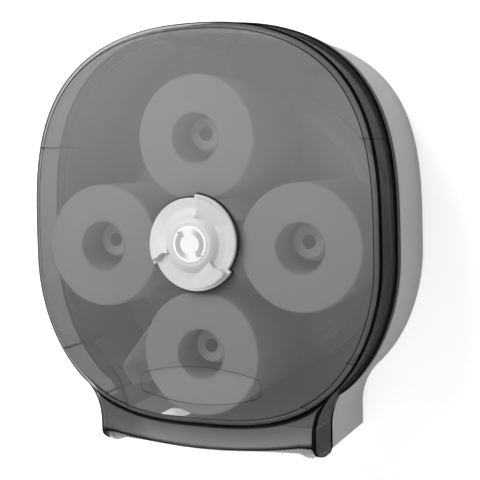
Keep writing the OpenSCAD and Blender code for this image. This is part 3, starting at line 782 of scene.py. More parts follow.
@dataclass(frozen=True)
class Arrow:
    """Grey fill of a pressed arrow, which fades into the button's white where its tail runs out."""

    name: str
    colour: Colour
    ground: Colour

    def make(self) -> bpy.types.Material:
        """Builds the material; the mesh carries the fade as the attribute "tone"."""
        kit = Finish(self.name)
        tone = Number(kit, kit.node("ShaderNodeAttribute", {"attribute_name": "tone"}).outputs["Fac"])
        fine = kit.noise(1800.0, 2.0)
        return kit.surface(
            Base_Color=kit.mix(tone.least(1.0), self.ground, self.colour),
            Roughness=fine.between(0.36, 0.48),
            Normal=kit.bump(fine, 0.01),
        )


class Look(Enum):
    """The finishes that more than one piece shares."""

    HOUSING = Plastic("housing_grey", (0.50, 0.50, 0.497), 0.5, 0.014)
    CAROUSEL = Plastic("carousel_grey", (0.72, 0.72, 0.717), 0.42)
    POST = Plastic("post_grey", (0.80, 0.80, 0.79), 0.38)
    # Cover looks: copies of one smoked plastic, tinted strip by strip as painted light and shade: the face paler than
    # its side walls and chin, and the edges, creases and skirt near black as painted shade
    COVER_FACE = Smoke("smoke_face", (0.215, 0.215, 0.215), 0.40, milky_top=0.30, clear_label=0.04)
    COVER_SIDE = Smoke("smoke_side", (0.050, 0.050, 0.051), 0.60, 0.2, 0.02, 1.1)
    COVER_EDGE = Smoke("smoke_edge", (0.004, 0.004, 0.004), 0.95, 0.3, 0.02, 1.0)
    COVER_LINE = Smoke("smoke_line", (0.012, 0.012, 0.012), 0.72, 0.3, 0.02, 1.0)
    LABEL_LINE = Smoke("smoke_label_line", (0.03, 0.03, 0.03), 0.26, 0.3, 0.02, 1.1)
    COVER_SKIRT = Smoke("smoke_skirt", (0.070, 0.070, 0.071), 0.90, 0.3, 0.02, 1.1)
    COVER_LAP = Smoke("smoke_lap", (0.42, 0.42, 0.42), 0.85, 0.3)
    COVER_ROUND = Smoke("smoke_round", (0.20, 0.20, 0.20), 0.40, 0.2, 0.02, 1.05, turned=True)
    COVER_CHIN = Smoke("smoke_chin", (0.11, 0.11, 0.11), 0.32, dark_left=0.32)
    LOCK_BOX = Smoke("smoke_box", (0.035, 0.035, 0.036), 0.78)
    STEEL = Metal("zinc_steel")
    CHROME = Metal("polished_chrome", (0.72, 0.73, 0.75), 0.14)
    NYLON = Plastic("nylon", (0.72, 0.71, 0.66), 0.45, 0.008, 0.03)
    KNOB = Plastic("knob_white", (0.56, 0.56, 0.555), 0.5, 0.006, 0.02)
    BUTTON = Plastic("button_white", (0.80, 0.80, 0.79), 0.3, 0.004, 0.01)
    ARROW = Arrow("arrow_grey", (0.40, 0.40, 0.40), (0.80, 0.80, 0.79))
    BLACK = Plastic("backing_black", (0.006, 0.006, 0.006), 0.4, 0.006, 0.2)
    TISSUE = Tissue("paper_tail")


class Finishes:
    """Makes each shared finish once, when it is first asked for."""

    def __init__(self) -> None:
        """Starts with none made."""
        self._made: dict[Look, bpy.types.Material] = {}

    def __getitem__(self, look: Look) -> bpy.types.Material:
        """Gives the material of a look."""
        if look not in self._made:
            self._made[look] = look.value.make()
        return self._made[look]


FINISHES = Finishes()


def settle(piece: bpy.types.Object, body: str, slot: str, *nodes: str) -> bpy.types.Object:
    """Lets a piece ride on a body in place of CAD nodes, and reports it.

    Args:
        piece: The finished piece.
        body: The body that it moves with.
        slot: Not used.
        nodes: CAD nodes that it stands for.

    Returns:
        The piece.
    """
    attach(piece, body)
    if nodes:
        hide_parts(*nodes)
    stands_for = ", for " + ", ".join(nodes) if nodes else ""
    LOG.info("%s rides on %s, %d faces%s", piece.name, body, len(piece.data.polygons), stands_for)
    return piece


def dress(node: str, look: Look) -> None:
    """Gives a CAD node that stays in view its finish.

    Args:
        node: Name of the node.
        look: The finish.
    """
    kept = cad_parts[node]
    kept.data.materials.clear()
    kept.data.materials.append(FINISHES[look])
    LOG.info("%s keeps its CAD shape, in %s", node, look.name.lower())


# ---------------------------------------------------------------------------
# The case's outline
# ---------------------------------------------------------------------------


@dataclass(frozen=True)
class CaseOutline:
    """Front outline of the case: two half super-ellipses that meet at its widest point."""

    half_width: float = 161.189
    top: float = 185.089
    low: float = -156.989
    widest: float = -16.0
    top_flat: float = 2.31
    upper_side_flat: float = 3.41
    bottom_flat: float = 2.93
    lower_side_flat: float = 1.9

    def powers(self, upper: Array | bool) -> tuple[Array, Array, Array]:
        """Powers p and q and height b of the upper or the lower half."""
        p = np.where(upper, self.top_flat, self.bottom_flat)
        q = np.where(upper, self.upper_side_flat, self.lower_side_flat)
        return p, q, np.where(upper, self.top - self.widest, self.widest - self.low)

    def at(self, t: Array | float, grow: Array | float = 0.0) -> tuple[Array, Array]:
        """Point of the outline: x = (a + g) cos^(2/p) t and z = z0 + (b + g) sin^(2/q) t, with the signs kept.

        Args:
            t: Parameter angle in radians.
            grow: Distance by which the outline is grown.

        Returns:
            x and z.
        """
        c, s = np.cos(t), np.sin(t)
        p, q, b = self.powers(s >= 0)
        x = (self.half_width + grow) * np.sign(c) * np.abs(c) ** (2 / p)
        z = self.widest + (b + grow) * np.sign(s) * np.abs(s) ** (2 / q)
        return x, z

    def half_at(self, z: Array) -> Array:
        """Half width of the outline at height z."""
        p, q, b = self.powers(z >= self.widest)
        v = np.clip(np.abs(z - self.widest) / b, 0.0, 1.0)
        return self.half_width * (1 - v**q) ** (1 / p)

    def evenly(self, start: float, end: float, count: int, grow: float = 0.0) -> Array:
        """Parameter angles from start to end at equal steps along the outline.

        Args:
            start: First parameter angle.
            end: Last parameter angle.
            count: Number of angles.
            grow: Distance by which the outline is grown.

        Returns:
            The angles.
        """
        fine_steps = 8001
        t = np.linspace(start, end, fine_steps)
        x, z = self.at(t, grow)
        run = np.concatenate([[0.0], np.cumsum(np.hypot(np.diff(x), np.diff(z)))])
        return np.interp(np.linspace(0.0, run[-1], count), run, t)


@dataclass(frozen=True)
class Flare:
    """Side of the chin: upright below, and above it an arc that touches the case's outline."""

    outline: CaseOutline
    half: float = 102.0
    straight_below: float = -162.0

    @cached_property
    def _fit(self) -> tuple[float, float]:
        """Radius of the arc and the outline's parameter angle where it touches, found by halving."""
        t = np.linspace(-math.pi / 2, 0.0, 40001)
        x, z = self.outline.at(t)
        low, high = 10.0, 160.0
        for _ in range(50):
            r = (low + high) / 2
            near = np.hypot(x - self.half - r, z - self.straight_below).min()
            low, high = (r, high) if near > r else (low, r)
        gap = np.hypot(x - self.half - low, z - self.straight_below)
        return low, float(t[gap.argmin()])

    @property
    def radius(self) -> float:
        """Radius of the arc."""
        return self._fit[0]

    @property
    def touch(self) -> float:
        """Parameter angle of the outline where the arc touches it, on the right."""
        return self._fit[1]

    def side(self, z: Array) -> tuple[Array, Array, Array]:
        """Right side at height z: x = c - sqrt(r^2 - (z - z0)^2) on the arc, and upright below it.

        Args:
            z: Heights.

        Returns:
            x of the side, and the x and z parts of its outward normal.
        """
        rise = np.clip(z - self.straight_below, 0.0, self.radius)
        run = np.sqrt(self.radius**2 - rise**2)
        return self.half + self.radius - run, run / self.radius, -rise / self.radius


OUTLINE = CaseOutline()
FLARE = Flare(OUTLINE)


# ---------------------------------------------------------------------------
# Front cover
# ---------------------------------------------------------------------------


class Strip(IntEnum):
    """Material slots of the cover's skin; each has the look of the same name after COVER_, and together they paint its
    light and shade strip by strip.
    """

    FACE = 0
    SIDE = 1
    EDGE = 2
    LINE = 3
    SKIRT = 4
    LAP = 5
    ROUND = 6
    CHIN = 7


@dataclass
class FrontCover:
    """Clear smoked cover with a rounded front edge, a proud skirt round its rim and a chin with hinge legs."""

    wall: float = 2.5
    face_out: float = 144.0
    face_in: float = 141.5
    round_r: float = 4.9
    inner_r: float = 2.4
    face_rows: int = 15
    round_rows: int = 9
    inner_rows: int = 6
    crease_w: float = 1.1
    rim: float = 92.5
    skirt_to: float = 103.5
    skirt_proud: float = 3.4
    lap_margin: float = 0.6
    chin_out: float = 139.0
    chin_in: float = 136.5
    chin_wall: float = 3.0
    corner_r: float = 3.0
    corner_fade: float = 0.2
    hole_r: float = 15.08
    leg_low: float = -184.5
    leg_sweep: float = 31.0
    leg_round: float = 18.4
    leg_heel: float = 6.0
    tear_low: float = -180.0
    tear_rise: float = 8.0
    tear_span: float = 88.0
    tear_end: float = -172.0
    tear_thick: float = 2.4
    tear_step: float = 3.6
    tooth_pitch: float = 3.4
    tooth_depth: float = 1.1
    upper_columns: int = 320
    chin_rows: int = 26
    chin_skirt_rows: int = 8
    corner_steps: int = 5
    web_in: float = 9.0
    web_out: float = 6.5
    web_step: float = 4.1
    webs: tuple[tuple[float, float], ...] = ((84.0, 82.5), (-98.0, 82.5), (-138.0, 99.5))

    @property
    def teeth(self) -> int:
        """Number of tear teeth between the legs."""
        half = FLARE.half - self.chin_wall
        return math.floor(2 * half / self.tooth_pitch)

    def chin_width(self, z: Array) -> tuple[Array, Array]:
        """Half width of the chin at height z, and the radius of its front corners.

        The corner's radius is corner_r (1 - exp(-corner_fade gap)), where gap is how far the chin's side lies
        outside the outline's. So it runs out to nothing where the two touch.

        Args:
            z: Heights.

        Returns:
            Half width and corner radius.
        """
        w, _, _ = FLARE.side(z)
        gap = np.maximum(w - OUTLINE.half_at(z), 0.0)
        return w, self.corner_r * (1 - np.exp(-self.corner_fade * gap))

    def tear_at(self, x: Array) -> Array:
        """Height of the tear edge at x, without its teeth."""
        return self.tear_low + self.tear_rise * np.minimum(1.0, (x / self.tear_span) ** 2)

    def leg_foot(self, reach: Array) -> Array:
        """Height of a leg's lower edge at a given reach: level, with a quarter ellipse in front and a round heel."""
        front = np.clip((reach - (self.chin_out - self.leg_sweep)) / self.leg_sweep, 0.0, 1.0)
        heel = np.clip((self.rim + self.leg_heel - reach) / self.leg_heel, 0.0, 1.0)
        curve = self.leg_low + self.leg_round * (1 - np.sqrt(1 - front**2))
        return curve + self.leg_heel * (1 - np.sqrt(1 - heel**2))

    def plate_columns(self) -> tuple[Array, Array, Array]:
        """Columns of the chin's front plate.

        Column s runs from the point of the outline with x = s (w - r) down to the tear edge.

        Returns:
            The columns' s, from -1 to 1, the outline's parameter angle for each, and the bottom heights.
        """
        s = np.linspace(-1.0, 1.0, 2 * self.teeth + 1)
        t = np.linspace(math.pi - FLARE.touch, TAU + FLARE.touch, 6001)
        x, z = OUTLINE.at(t)
        w, r = self.chin_width(z)
        along = np.interp(s, x / (w - r), t)
        tooth = np.where(np.arange(s.size) % 2 == 0, 0.0, self.tooth_depth)
        return s, along, self.tear_at(s * (FLARE.half - self.chin_wall)) + tooth

    def skin(self) -> Skin:
        """Draws the closed wall of the cover, outside and inside, from grids that share their edges.

        Returns:
            The skin, with the slots of Strip.
        """
        upper = OUTLINE.evenly(FLARE.touch, math.pi - FLARE.touch, self.upper_columns)
        s, lower, foot = self.plate_columns()
        skin = Skin("cover")
        self._front(skin, np.concatenate([upper, lower[1:-1]]))
        self._upper_wall(skin, upper)
        self._chin_wall(skin, s, lower, foot)
        return skin

    def _face(self, grow: float, reach: float, ring: Array) -> Array:
        """Draws the face from the knob's hole to the outline, in rows at even steps of the way.

        Args:
            grow: Distance by which the outline is grown.
            reach: Reach of the face.
            ring: Parameter angles of the outline, once round.

        Returns:
            The grid.
        """
        x, z = OUTLINE.at(ring, grow)
        a = np.arctan2(z, x)
        f = np.linspace(0.0, 1.0, self.face_rows)[:, None]
        return points((1 - f) * self.hole_r * np.cos(a) + f * x, (1 - f) * self.hole_r * np.sin(a) + f * z, reach)

    @staticmethod
    def _rounding(radius: float, front: float, offset: float, rows: int, ring: Array) -> Array:
        """Draws a quarter round: the outline is grown by -r + r sin p and reaches front - r + r cos p.

        Args:
            radius: Radius r.
            front: Reach of its front end.
            offset: Distance by which the outline is grown at its rear end.
            rows: Number of rows.
            ring: Parameter angles of the outline, once round.

        Returns:
            The grid.
        """
        p = np.linspace(0.0, math.pi / 2, rows)[:, None]
        x, z = OUTLINE.at(ring[None, :], offset - radius + radius * np.sin(p))
        return points(x, z, front - radius + radius * np.cos(p))

    def _front(self, skin: Skin, ring: Array) -> None:
        """Adds the front face, the crease where it starts to round, the rounding, and the wall to the chin's plane.

        Args:
            skin: Skin that takes them, outside and inside.
            ring: Parameter angles of the outline, once round.
        """
        out_face = self._face(-self.round_r - self.crease_w, self.face_out, ring)
        skin.grid(out_face, Strip.FACE, close_columns=True)
        out_round = self._rounding(self.round_r, self.face_out, 0.0, self.round_rows, ring)
        # Painted shade: the crease is a dark line, and the half of the rounding that turns onto the side, the wall to
        # the chin's plane and the hole's edge are near black
        skin.bridge(out_face[-1], out_round[0], Strip.LINE, closed=True)
        skin.grid(out_round, np.repeat([Strip.ROUND, Strip.EDGE], self.round_rows // 2), close_columns=True)
        skin.bridge(out_round[-1], points(*OUTLINE.at(ring), self.chin_out), Strip.EDGE, closed=True)

        in_face = self._face(-self.wall - self.inner_r, self.face_in, ring)
        skin.grid(in_face, Strip.FACE, close_columns=True)
        in_round = self._rounding(self.inner_r, self.face_in, -self.wall, self.inner_rows, ring)
        skin.grid(in_round, Strip.FACE, close_columns=True)
        skin.bridge(in_round[-1], points(*OUTLINE.at(ring, -self.wall), self.chin_in), Strip.SIDE, closed=True)
        skin.bridge(out_face[0], in_face[0], Strip.EDGE, closed=True)

    def _wall_rows(self) -> tuple[Array, Array, Array]:
        """Gives the rows of the wall's outside, from the chin's plane back to the rim.

        Returns:
            Each row's reach, how proud it is, and the slot of the strip behind each row but the last.
        """
        crest, front = self.skirt_proud, self.skirt_to
        # Painted shade: the skirt's rounded shoulders take the near-black edge look and its crest the dark skirt look
        rows = [
            (self.chin_out, 0.0, Strip.EDGE), (137.2, 0.0, Strip.SIDE), (131.0, 0.0, Strip.SIDE),
            (123.0, 0.0, Strip.SIDE), (114.0, 0.0, Strip.SIDE), (front + 1.3, 0.0, Strip.SIDE),
            (front + 0.5, 0.08 * crest, Strip.SIDE), (front + 0.1, 0.25 * crest, Strip.SIDE),
            (front - 0.15, 0.5 * crest, Strip.EDGE), (front - 0.5, 0.78 * crest, Strip.EDGE),
            (front - 1.1, 0.94 * crest, Strip.SKIRT), (front - 2.0, crest, Strip.SKIRT),
            (97.5, crest, Strip.SKIRT), (self.rim + 0.8, crest, Strip.SKIRT),
            (self.rim + 0.2, 0.97 * crest, Strip.EDGE), (self.rim, 0.88 * crest, Strip.EDGE),
        ]
        table = np.array(rows)
        return table[:, 0], table[:, 1], table[:-1, 2].astype(int)

    def _inner_reaches(self, reaches: Array) -> Array:
        """Reaches of the wall's inside that match those of its outside."""
        return np.interp(reaches, [self.rim, self.chin_out], [self.rim, self.chin_in])

    def _upper_wall(self, skin: Skin, upper: Array) -> None:
        """Adds the wall from the chin's plane back to the rim, with the skirt.

        Args:
            skin: Skin that takes it, outside and inside.
            upper: Parameter angles of the outline above the chin.
        """
        reaches, proud, slots = self._wall_rows()
        skin.grid(points(*OUTLINE.at(upper[None, :], proud[:, None]), reaches[:, None]), slots)
        reaches = self._inner_reaches(reaches)
        x, z = OUTLINE.at(upper, -self.wall)
        inside = points(x[None, :], z[None, :], reaches[:, None])
        skin.grid(inside, np.where(reaches[:-1] < self.skirt_to + self.lap_margin, Strip.LAP, Strip.SIDE))
        skin.bridge(points(*OUTLINE.at(upper, proud[-1]), self.rim), inside[-1], Strip.EDGE)

    def _chin_wall(self, skin: Skin, s: Array, lower: Array, foot: Array) -> None:
        """Adds the chin: left side, left corner, plate, right corner and right side.

        Args:
            skin: Skin that takes them, outside and inside.
            s: The plate's columns, from -1 to 1.
            lower: The outline's parameter angle at the top of each.
            foot: Height of the tear edge at each.
        """
        reaches, proud, slots = self._wall_rows()
        outer = self._chin(s, lower, foot, reaches, proud, 0.0)
        inner = self._chin(s, lower, foot, self._inner_reaches(reaches), 0 * proud, 1.0)
        n, strips = reaches.size, self.chin_rows - 1
        corner_end = n + self.corner_steps
        plate = slice(corner_end - 1, 1 - corner_end)
        # Painted shade: dark strips along the plate's top and bottom, and near-black corners
        plate_slots = np.full(strips, Strip.CHIN)
        plate_slots[:3] = Strip.EDGE, Strip.EDGE, Strip.LINE
        plate_slots[-3:] = Strip.SIDE, Strip.LINE, Strip.EDGE
        # Its upper rows keep the wall's strips; below them the side is all skirt, with painted dark edges at the rear
        # as painted shade
        rear, last = reaches[1:] < self.rim + 5.0, reaches[1:] < self.rim + 1.0
        flank = np.where((slots == Strip.EDGE) & rear | last, Strip.EDGE, Strip.SKIRT)
        outer_slots = np.where(np.arange(strips)[:, None] < self.chin_skirt_rows, slots, flank)
        inner_slots = np.full_like(outer_slots, Strip.SIDE)
        for grid, dark, own in ((outer, Strip.EDGE, outer_slots), (inner, Strip.LINE, inner_slots)):
            skin.grid(grid[:, :n], own[:, ::-1])
            skin.grid(grid[:, -n:], own)
            skin.grid(grid[:, n - 1 : corner_end], dark)
            skin.grid(grid[:, -corner_end : 1 - n], dark)
            skin.grid(grid[:, plate], plate_slots)
        # Painted shade: the cut edges at the foot and at the ends are near black
        foot_part, whole = slice(n - 1, 1 - n), slice(None)
        for pick in ((-1, foot_part), (-1, slice(n)), (-1, slice(-n, None)), (whole, 0), (whole, -1)):
            skin.bridge(outer[pick], inner[pick], Strip.EDGE)

    def _chin(self, s: Array, lower: Array, foot: Array, reaches: Array, proud: Array, inside: float) -> Array:
        """Points of the chin, in rows from the outline down and columns from the left rear round to the right rear.

        Args:
            s: The plate's columns, from -1 to 1.
            lower: The outline's parameter angle at the top of each.
            foot: Height of the tear edge at each.
            reaches: Reaches of the side's columns, from the front back.
            proud: How proud the skirt is at each; it runs out as the side leaves the outline.
            inside: 0 for the outer face and 1 for the inner.

        Returns:
            The grid.
        """
        v = (np.linspace(0.0, 1.0, self.chin_rows) ** 0.9)[:, None]
        front = self.chin_in if inside else self.chin_out
        offset_top, offset_low = self.wall * inside, self.chin_wall * inside
        # Plate
        top_x, top_z = OUTLINE.at(lower, -offset_top)
        z = top_z[None, :] * (1 - v) + foot[None, :] * v
        w, r = self.chin_width(z)
        share = offset_top + (offset_low - offset_top) * v
        _, nx, _ = FLARE.side(z)
        plate_x = s * (w - r - share * nx * (1 - r / self.corner_r))
        drift = (top_x - plate_x[0])[None, :] * (1 - v) ** 2
        plate = points(plate_x + drift, z, front)
        # Right corner and side; the left is their mirror image. The inside's corner is half as deep
        r_side = r[:, -1:]
        corner_depth = (1 - 0.5 * inside) * r_side
        phi = np.linspace(0.0, math.pi / 2, self.corner_steps + 1)[None, 1:]
        corner_reach = front - corner_depth * (1 - np.cos(phi))
        shrink = (front - corner_depth - self.rim) / (front - self.rim)
        side_reach = front - corner_depth + (reaches[None, 1:] - front) * shrink
        start = top_z[-1]

        def column(reach: Array, setback: Array, skirt: Array) -> Array:
            """Points down lines of the side, set back from its face, with a skirt that runs out below the flare."""
            low = self.leg_foot(reach)
            low = np.where(reach > self.chin_out - self.tear_thick, np.maximum(low, self.tear_end), low)
            low = np.minimum(low, np.where(reach > self.chin_out - self.tear_step, self.tear_end, low))
            zz = start * (1 - v) + low * v
            ww, mx, mz = FLARE.side(zz)
            beyond = np.maximum(ww - OUTLINE.half_at(zz), 0.0) * mx
            x = ww - (share + setback) * mx
            zz = zz - (share + setback) * mz * (1 - v)
            # The first point is moved onto the outline, and those below it by less and less
            first_x, first_z = OUTLINE.at(FLARE.touch, -offset_top)
            x = x + (first_x - x[0:1]) * (1 - v) ** 2
            zz = zz + (first_z - zz[0:1]) * (1 - v) ** 2
            crest_x, crest_z = OUTLINE.at(FLARE.touch, -offset_top + skirt)
            keep = np.maximum(skirt - beyond, 0.0) / np.maximum(skirt, 1e-9)
            return points(x + (crest_x - first_x) * keep, zz + (crest_z - first_z) * keep, reach)

        corner = column(corner_reach, r_side * (1 - np.sin(phi)) * (1 - inside), 0 * phi)
        side = column(side_reach, np.zeros_like(side_reach), proud[None, 1:])
        right = np.concatenate([plate, corner, side], axis=1)
        mirror = np.concatenate([corner, side], axis=1)[:, ::-1] * np.array([-1.0, 1.0, 1.0])
        return np.concatenate([mirror, right], axis=1)

    def _web(self, skin: Skin, z: float, back: float) -> None:
        """Adds the two webs at height z: upright plates inside the wall that guide the cover onto the case.

        A rounded oblong is carried along the reach. Its inner side lies web_in inside the outline, and its outer
        side web_out, which falls by web_step in front of reach 98. Below the case's widest point it leans by a
        third of the outline's parameter angle.

        Args:
            skin: Skin that takes both.
            z: Height on the outline.
            back: Reach of their rear ends.
        """
        upper = z > OUTLINE.widest
        _, q, b = OUTLINE.powers(upper)
        t = math.asin((abs(z - OUTLINE.widest) / b) ** (q / 2)) * (1 if upper else -1)
        x0, z0 = OUTLINE.at(t)
        lean = 0.0 if upper else -t / 3
        front = self.face_in + 0.1
        reach = np.array([back, back, back + 0.4, 98.2, 98.5, 98.8, 99.1, 120.0, front, front])
        shrink = np.array([0.0, 0.6, 1, 1, 1, 1, 1, 1, 1, 0.0])[:, None]
        outer = self.web_out - self.web_step * smooth((reach - 98.0) / 1.2)[:, None]
        oblong = np.array([
            [0.15, -0.8], [0.85, -0.8], [1.0, -0.55], [1.0, 0.55],
            [0.85, 0.8], [0.15, 0.8], [0.0, 0.55], [0.0, -0.55],
        ])
        middle = (outer + self.web_in) / 2
        u = middle + (outer + (self.web_in - outer) * oblong[None, :, 0] - middle) * shrink
        w = oblong[None, :, 1] * shrink + 0 * u
        x = x0 - u * math.cos(lean) + w * math.sin(lean)
        zz = z0 + u * math.sin(lean) + w * math.cos(lean)
        # Painted shade: the webs' end caps take the near-black edge look
        ends = np.array([1, 1, 0, 0, 0, 0, 0, 1, 1])
        for mirror in (1.0, -1.0):
            skin.grid(points(mirror * x, zz, reach[:, None]), ends, close_columns=True)

    def build(self) -> None:
        """Builds the cover, its webs and the line of its label field."""
        webs = Skin("cover_webs")
        for z, back in self.webs:
            self._web(webs, z, back)
        settle(webs.object([FINISHES[Look.COVER_SIDE], FINISHES[Look.COVER_EDGE]]), "cover", "smoke")
        wall = self.skin().object([FINISHES[Look[f"COVER_{strip.name}"]] for strip in Strip], 30.0)
        settle(wall, "cover", "smoke", "front_cover")
        # Section of the label field's line: share of the way across it, and height over the face
        section = [(0.0, -0.05), (0.0, 0.08), (0.15, 0.12), (0.85, 0.12), (1.0, 0.08), (1.0, -0.05)]
        outer, inner = LABEL.outline(0.0), LABEL.outline(LABEL.line)
        rings = [points(*((1 - f) * outer + f * inner).T, self.face_out + lift) for f, lift in section]
        line = Skin("label_line").grid(np.stack(rings), close_rows=True, close_columns=True)
        settle(line.object([FINISHES[Look.LABEL_LINE]]), "cover", "smoke")


# ---------------------------------------------------------------------------
# Rolls, cores and posts
# ---------------------------------------------------------------------------


@dataclass
class Rolls:
    """Four wound rolls on cores, each hung on a post of the carousel."""

    ring_r: float = 92.489
    hang: float = 3.6
    roll_r: float = 54.0
    edge_r: float = 2.5
    edge_rows: int = 7
    ripple: float = 0.35
    ripple_rows: int = 34
    side_margin: float = 8.0
    side_rows: int = 16
    sheet_step: float = 0.22
    turns: int = 192
    core_r: float = 21.3
    core_wall: float = 1.2
    back: float = 26.0
    front: float = 140.0
    post_r: float = 17.4
    post_back: float = 24.25
    post_front: float = 118.0
    places: tuple[str, ...] = ("top", "right", "bottom", "left")

    def centre(self, k: int) -> tuple[float, float]:
        """Axis of post k, as x and z."""
        return self.ring_r * math.sin(k * math.pi / 2), self.ring_r * math.cos(k * math.pi / 2)

    def build(self) -> None:
        """Builds the rolls, cores and posts."""
        for k, place in enumerate(self.places):
            self._roll(k, place)
            self._post(k, place)

    def _roll(self, k: int, place: str) -> None:
        """Builds roll k: its ends swell slightly in rings, and its side carries the step of the last sheet."""
        x, z = self.centre(k)
        middle = (x, z - self.hang)
        inner = self.core_r + self.core_wall + 0.05
        turn = np.linspace(0, math.pi / 2, self.edge_rows)[1:]
        flat_r = np.linspace(inner, self.roll_r - self.edge_r, self.ripple_rows)
        r = np.concatenate([flat_r, self.roll_r - self.edge_r * (1 - np.sin(turn))])
        layers = self.ripple * np.abs(np.sin(flat_r * 1.9)) * np.linspace(0.3, 1, self.ripple_rows)
        lay = np.concatenate([layers, self.edge_r * (1 - np.cos(turn))])
        front = np.stack([r, self.front - lay], -1)
        back = np.stack([r[::-1], self.back + lay[::-1]], -1)
        along = np.linspace(self.front - self.side_margin, self.back + self.side_margin, self.side_rows)
        side = np.stack([np.full_like(along, self.roll_r), along], -1)
        hole = np.stack([[inner, inner], [self.back, self.front]], -1)
        profile = np.concatenate([front, side, back, hole])
        grid = lathe(profile, middle, self.turns)
        # The last sheet's step fades in over the radius from 40 to 52
        a = np.linspace(0, TAU, self.turns, endpoint=False)
        step = self.sheet_step * ((a - 1.1 - k) % TAU) / TAU
        out = smooth((np.hypot(grid[..., 0] / MM - middle[0], grid[..., 2] / MM - middle[1]) - 40) / 12)
        shrink = 1 - step[None, :] * out / self.roll_r
        for axis, at in ((0, middle[0] * MM), (2, middle[1] * MM)):
            grid[..., axis] = at + (grid[..., axis] - at) * shrink
        ends = RollFace(f"roll_end_{place}", middle).make()
        sides = RollSide(f"roll_side_{place}", middle, self.roll_r).make()
        row = np.arange(len(profile))
        slots = ((row >= len(front) - 4) & (row < len(front) + len(side) + 3)).astype(int)
        paper = Skin(f"roll_paper_{place}").grid(grid, slots, close_rows=True, close_columns=True)
        settle(paper.object([ends, sides], 50.0), f"roll_{place}", "paper", f"paper_roll_{place}")

        outside = self.core_r + self.core_wall
        corners = [(self.core_r, self.back), (outside, self.back), (outside, self.front), (self.core_r, self.front)]
        tube = turned(f"core_tube_{place}", rounded(corners, 0.4, 3, closed=True), middle)
        board = Board(f"core_board_{place}", middle).make()
        settle(tube.object([board]), f"roll_{place}", "cardboard", f"roll_core_{place}")

    def _post(self, k: int, place: str) -> None:
        """Builds post k, a hollow turned peg with a tapered tip."""
        r, f, b = self.post_r, self.post_front, self.post_back
        corners = [
            (2.2, b + 0.05), (r, b + 0.05), (r, f - 14), (r - 1, f - 7), (r - 3, f - 1), (r - 4, f), (6.0, f),
            (6.0, f - 3), (r - 6, f - 3), (r - 3, f - 8), (r - 2, f - 14), (r - 2, b + 3), (2.2, b + 3),
        ]
        peg = turned(f"post_{place}", rounded(corners, 1.6, 4, closed=True), self.centre(k), 96)
        settle(peg.object([FINISHES[Look.POST]]), "carousel", "carousel_grey", f"roll_post_{place}")


@dataclass
class PaperTail:
    """Loose end of the bottom roll: straight off the roll, softly creased, then down and in."""

    leave: tuple[float, float] = (-42.6, -62.8)
    crease: tuple[float, float] = (-81.4, -112.4)
    middle: tuple[float, float] = (-72.5, -123.9)
    end: tuple[float, float] = (-65.7, -136.6)
    back: float = 28.6
    front: float = 133.4
    thick: float = 0.5
    rows: int = 60
    columns: int = 56

    def build(self) -> None:
        """Builds the sheet.

        Its section follows four points with rounded corners. Across its width it waves by
        0.5 sin(2 pi 1.4 v) mm, more towards its end, and the end is cut at a slant.
        """
        line = rounded([self.leave, self.crease, self.middle, self.end], 6.0, 10)
        run = np.concatenate([[0.0], np.cumsum(np.hypot(*np.diff(line, axis=0).T))])
        u = np.linspace(0.0, 1.0, self.rows)[:, None]
        v = np.linspace(0.0, 1.0, self.columns)[None, :]
        along = u * run[-1] * (0.90 + 0.10 * (1 - v))

        def at(distance: Array) -> Array:
            """x and z of the section at a distance along it."""
            return np.stack([np.interp(distance, run, line[:, 0]), np.interp(distance, run, line[:, 1])])

        x, z = at(along)
        tx, tz = at(along + 0.5) - at(along - 0.5)
        length = np.maximum(np.hypot(tx, tz), 1e-6)
        nx, nz = -tz / length, tx / length
        wave = 0.5 * np.sin(TAU * 1.4 * v + 0.6) * smooth(u * 1.3) + 0.25 * np.sin(TAU * 3.1 * v + u * 5)
        wave = wave * smooth(u * 4)
        reach = self.back + (self.front - self.back) * v + 0 * u
        top, low = (
            points(x + nx * (wave + half), z + nz * (wave + half), reach) for half in (self.thick / 2, -self.thick / 2)
        )
        skin = Skin("loose_end").grid(top).grid(low)
        for pick in (np.s_[0], np.s_[-1], np.s_[:, 0], np.s_[:, -1]):
            skin.bridge(top[pick], low[pick])
        sheet = settle(skin.object([FINISHES[Look.TISSUE]], 60.0), "carousel", "paper", "paper_tail")
        width, length_m = (self.front - self.back) * MM, float(run[-1]) * MM


# ---------------------------------------------------------------------------
# Knob
# ---------------------------------------------------------------------------


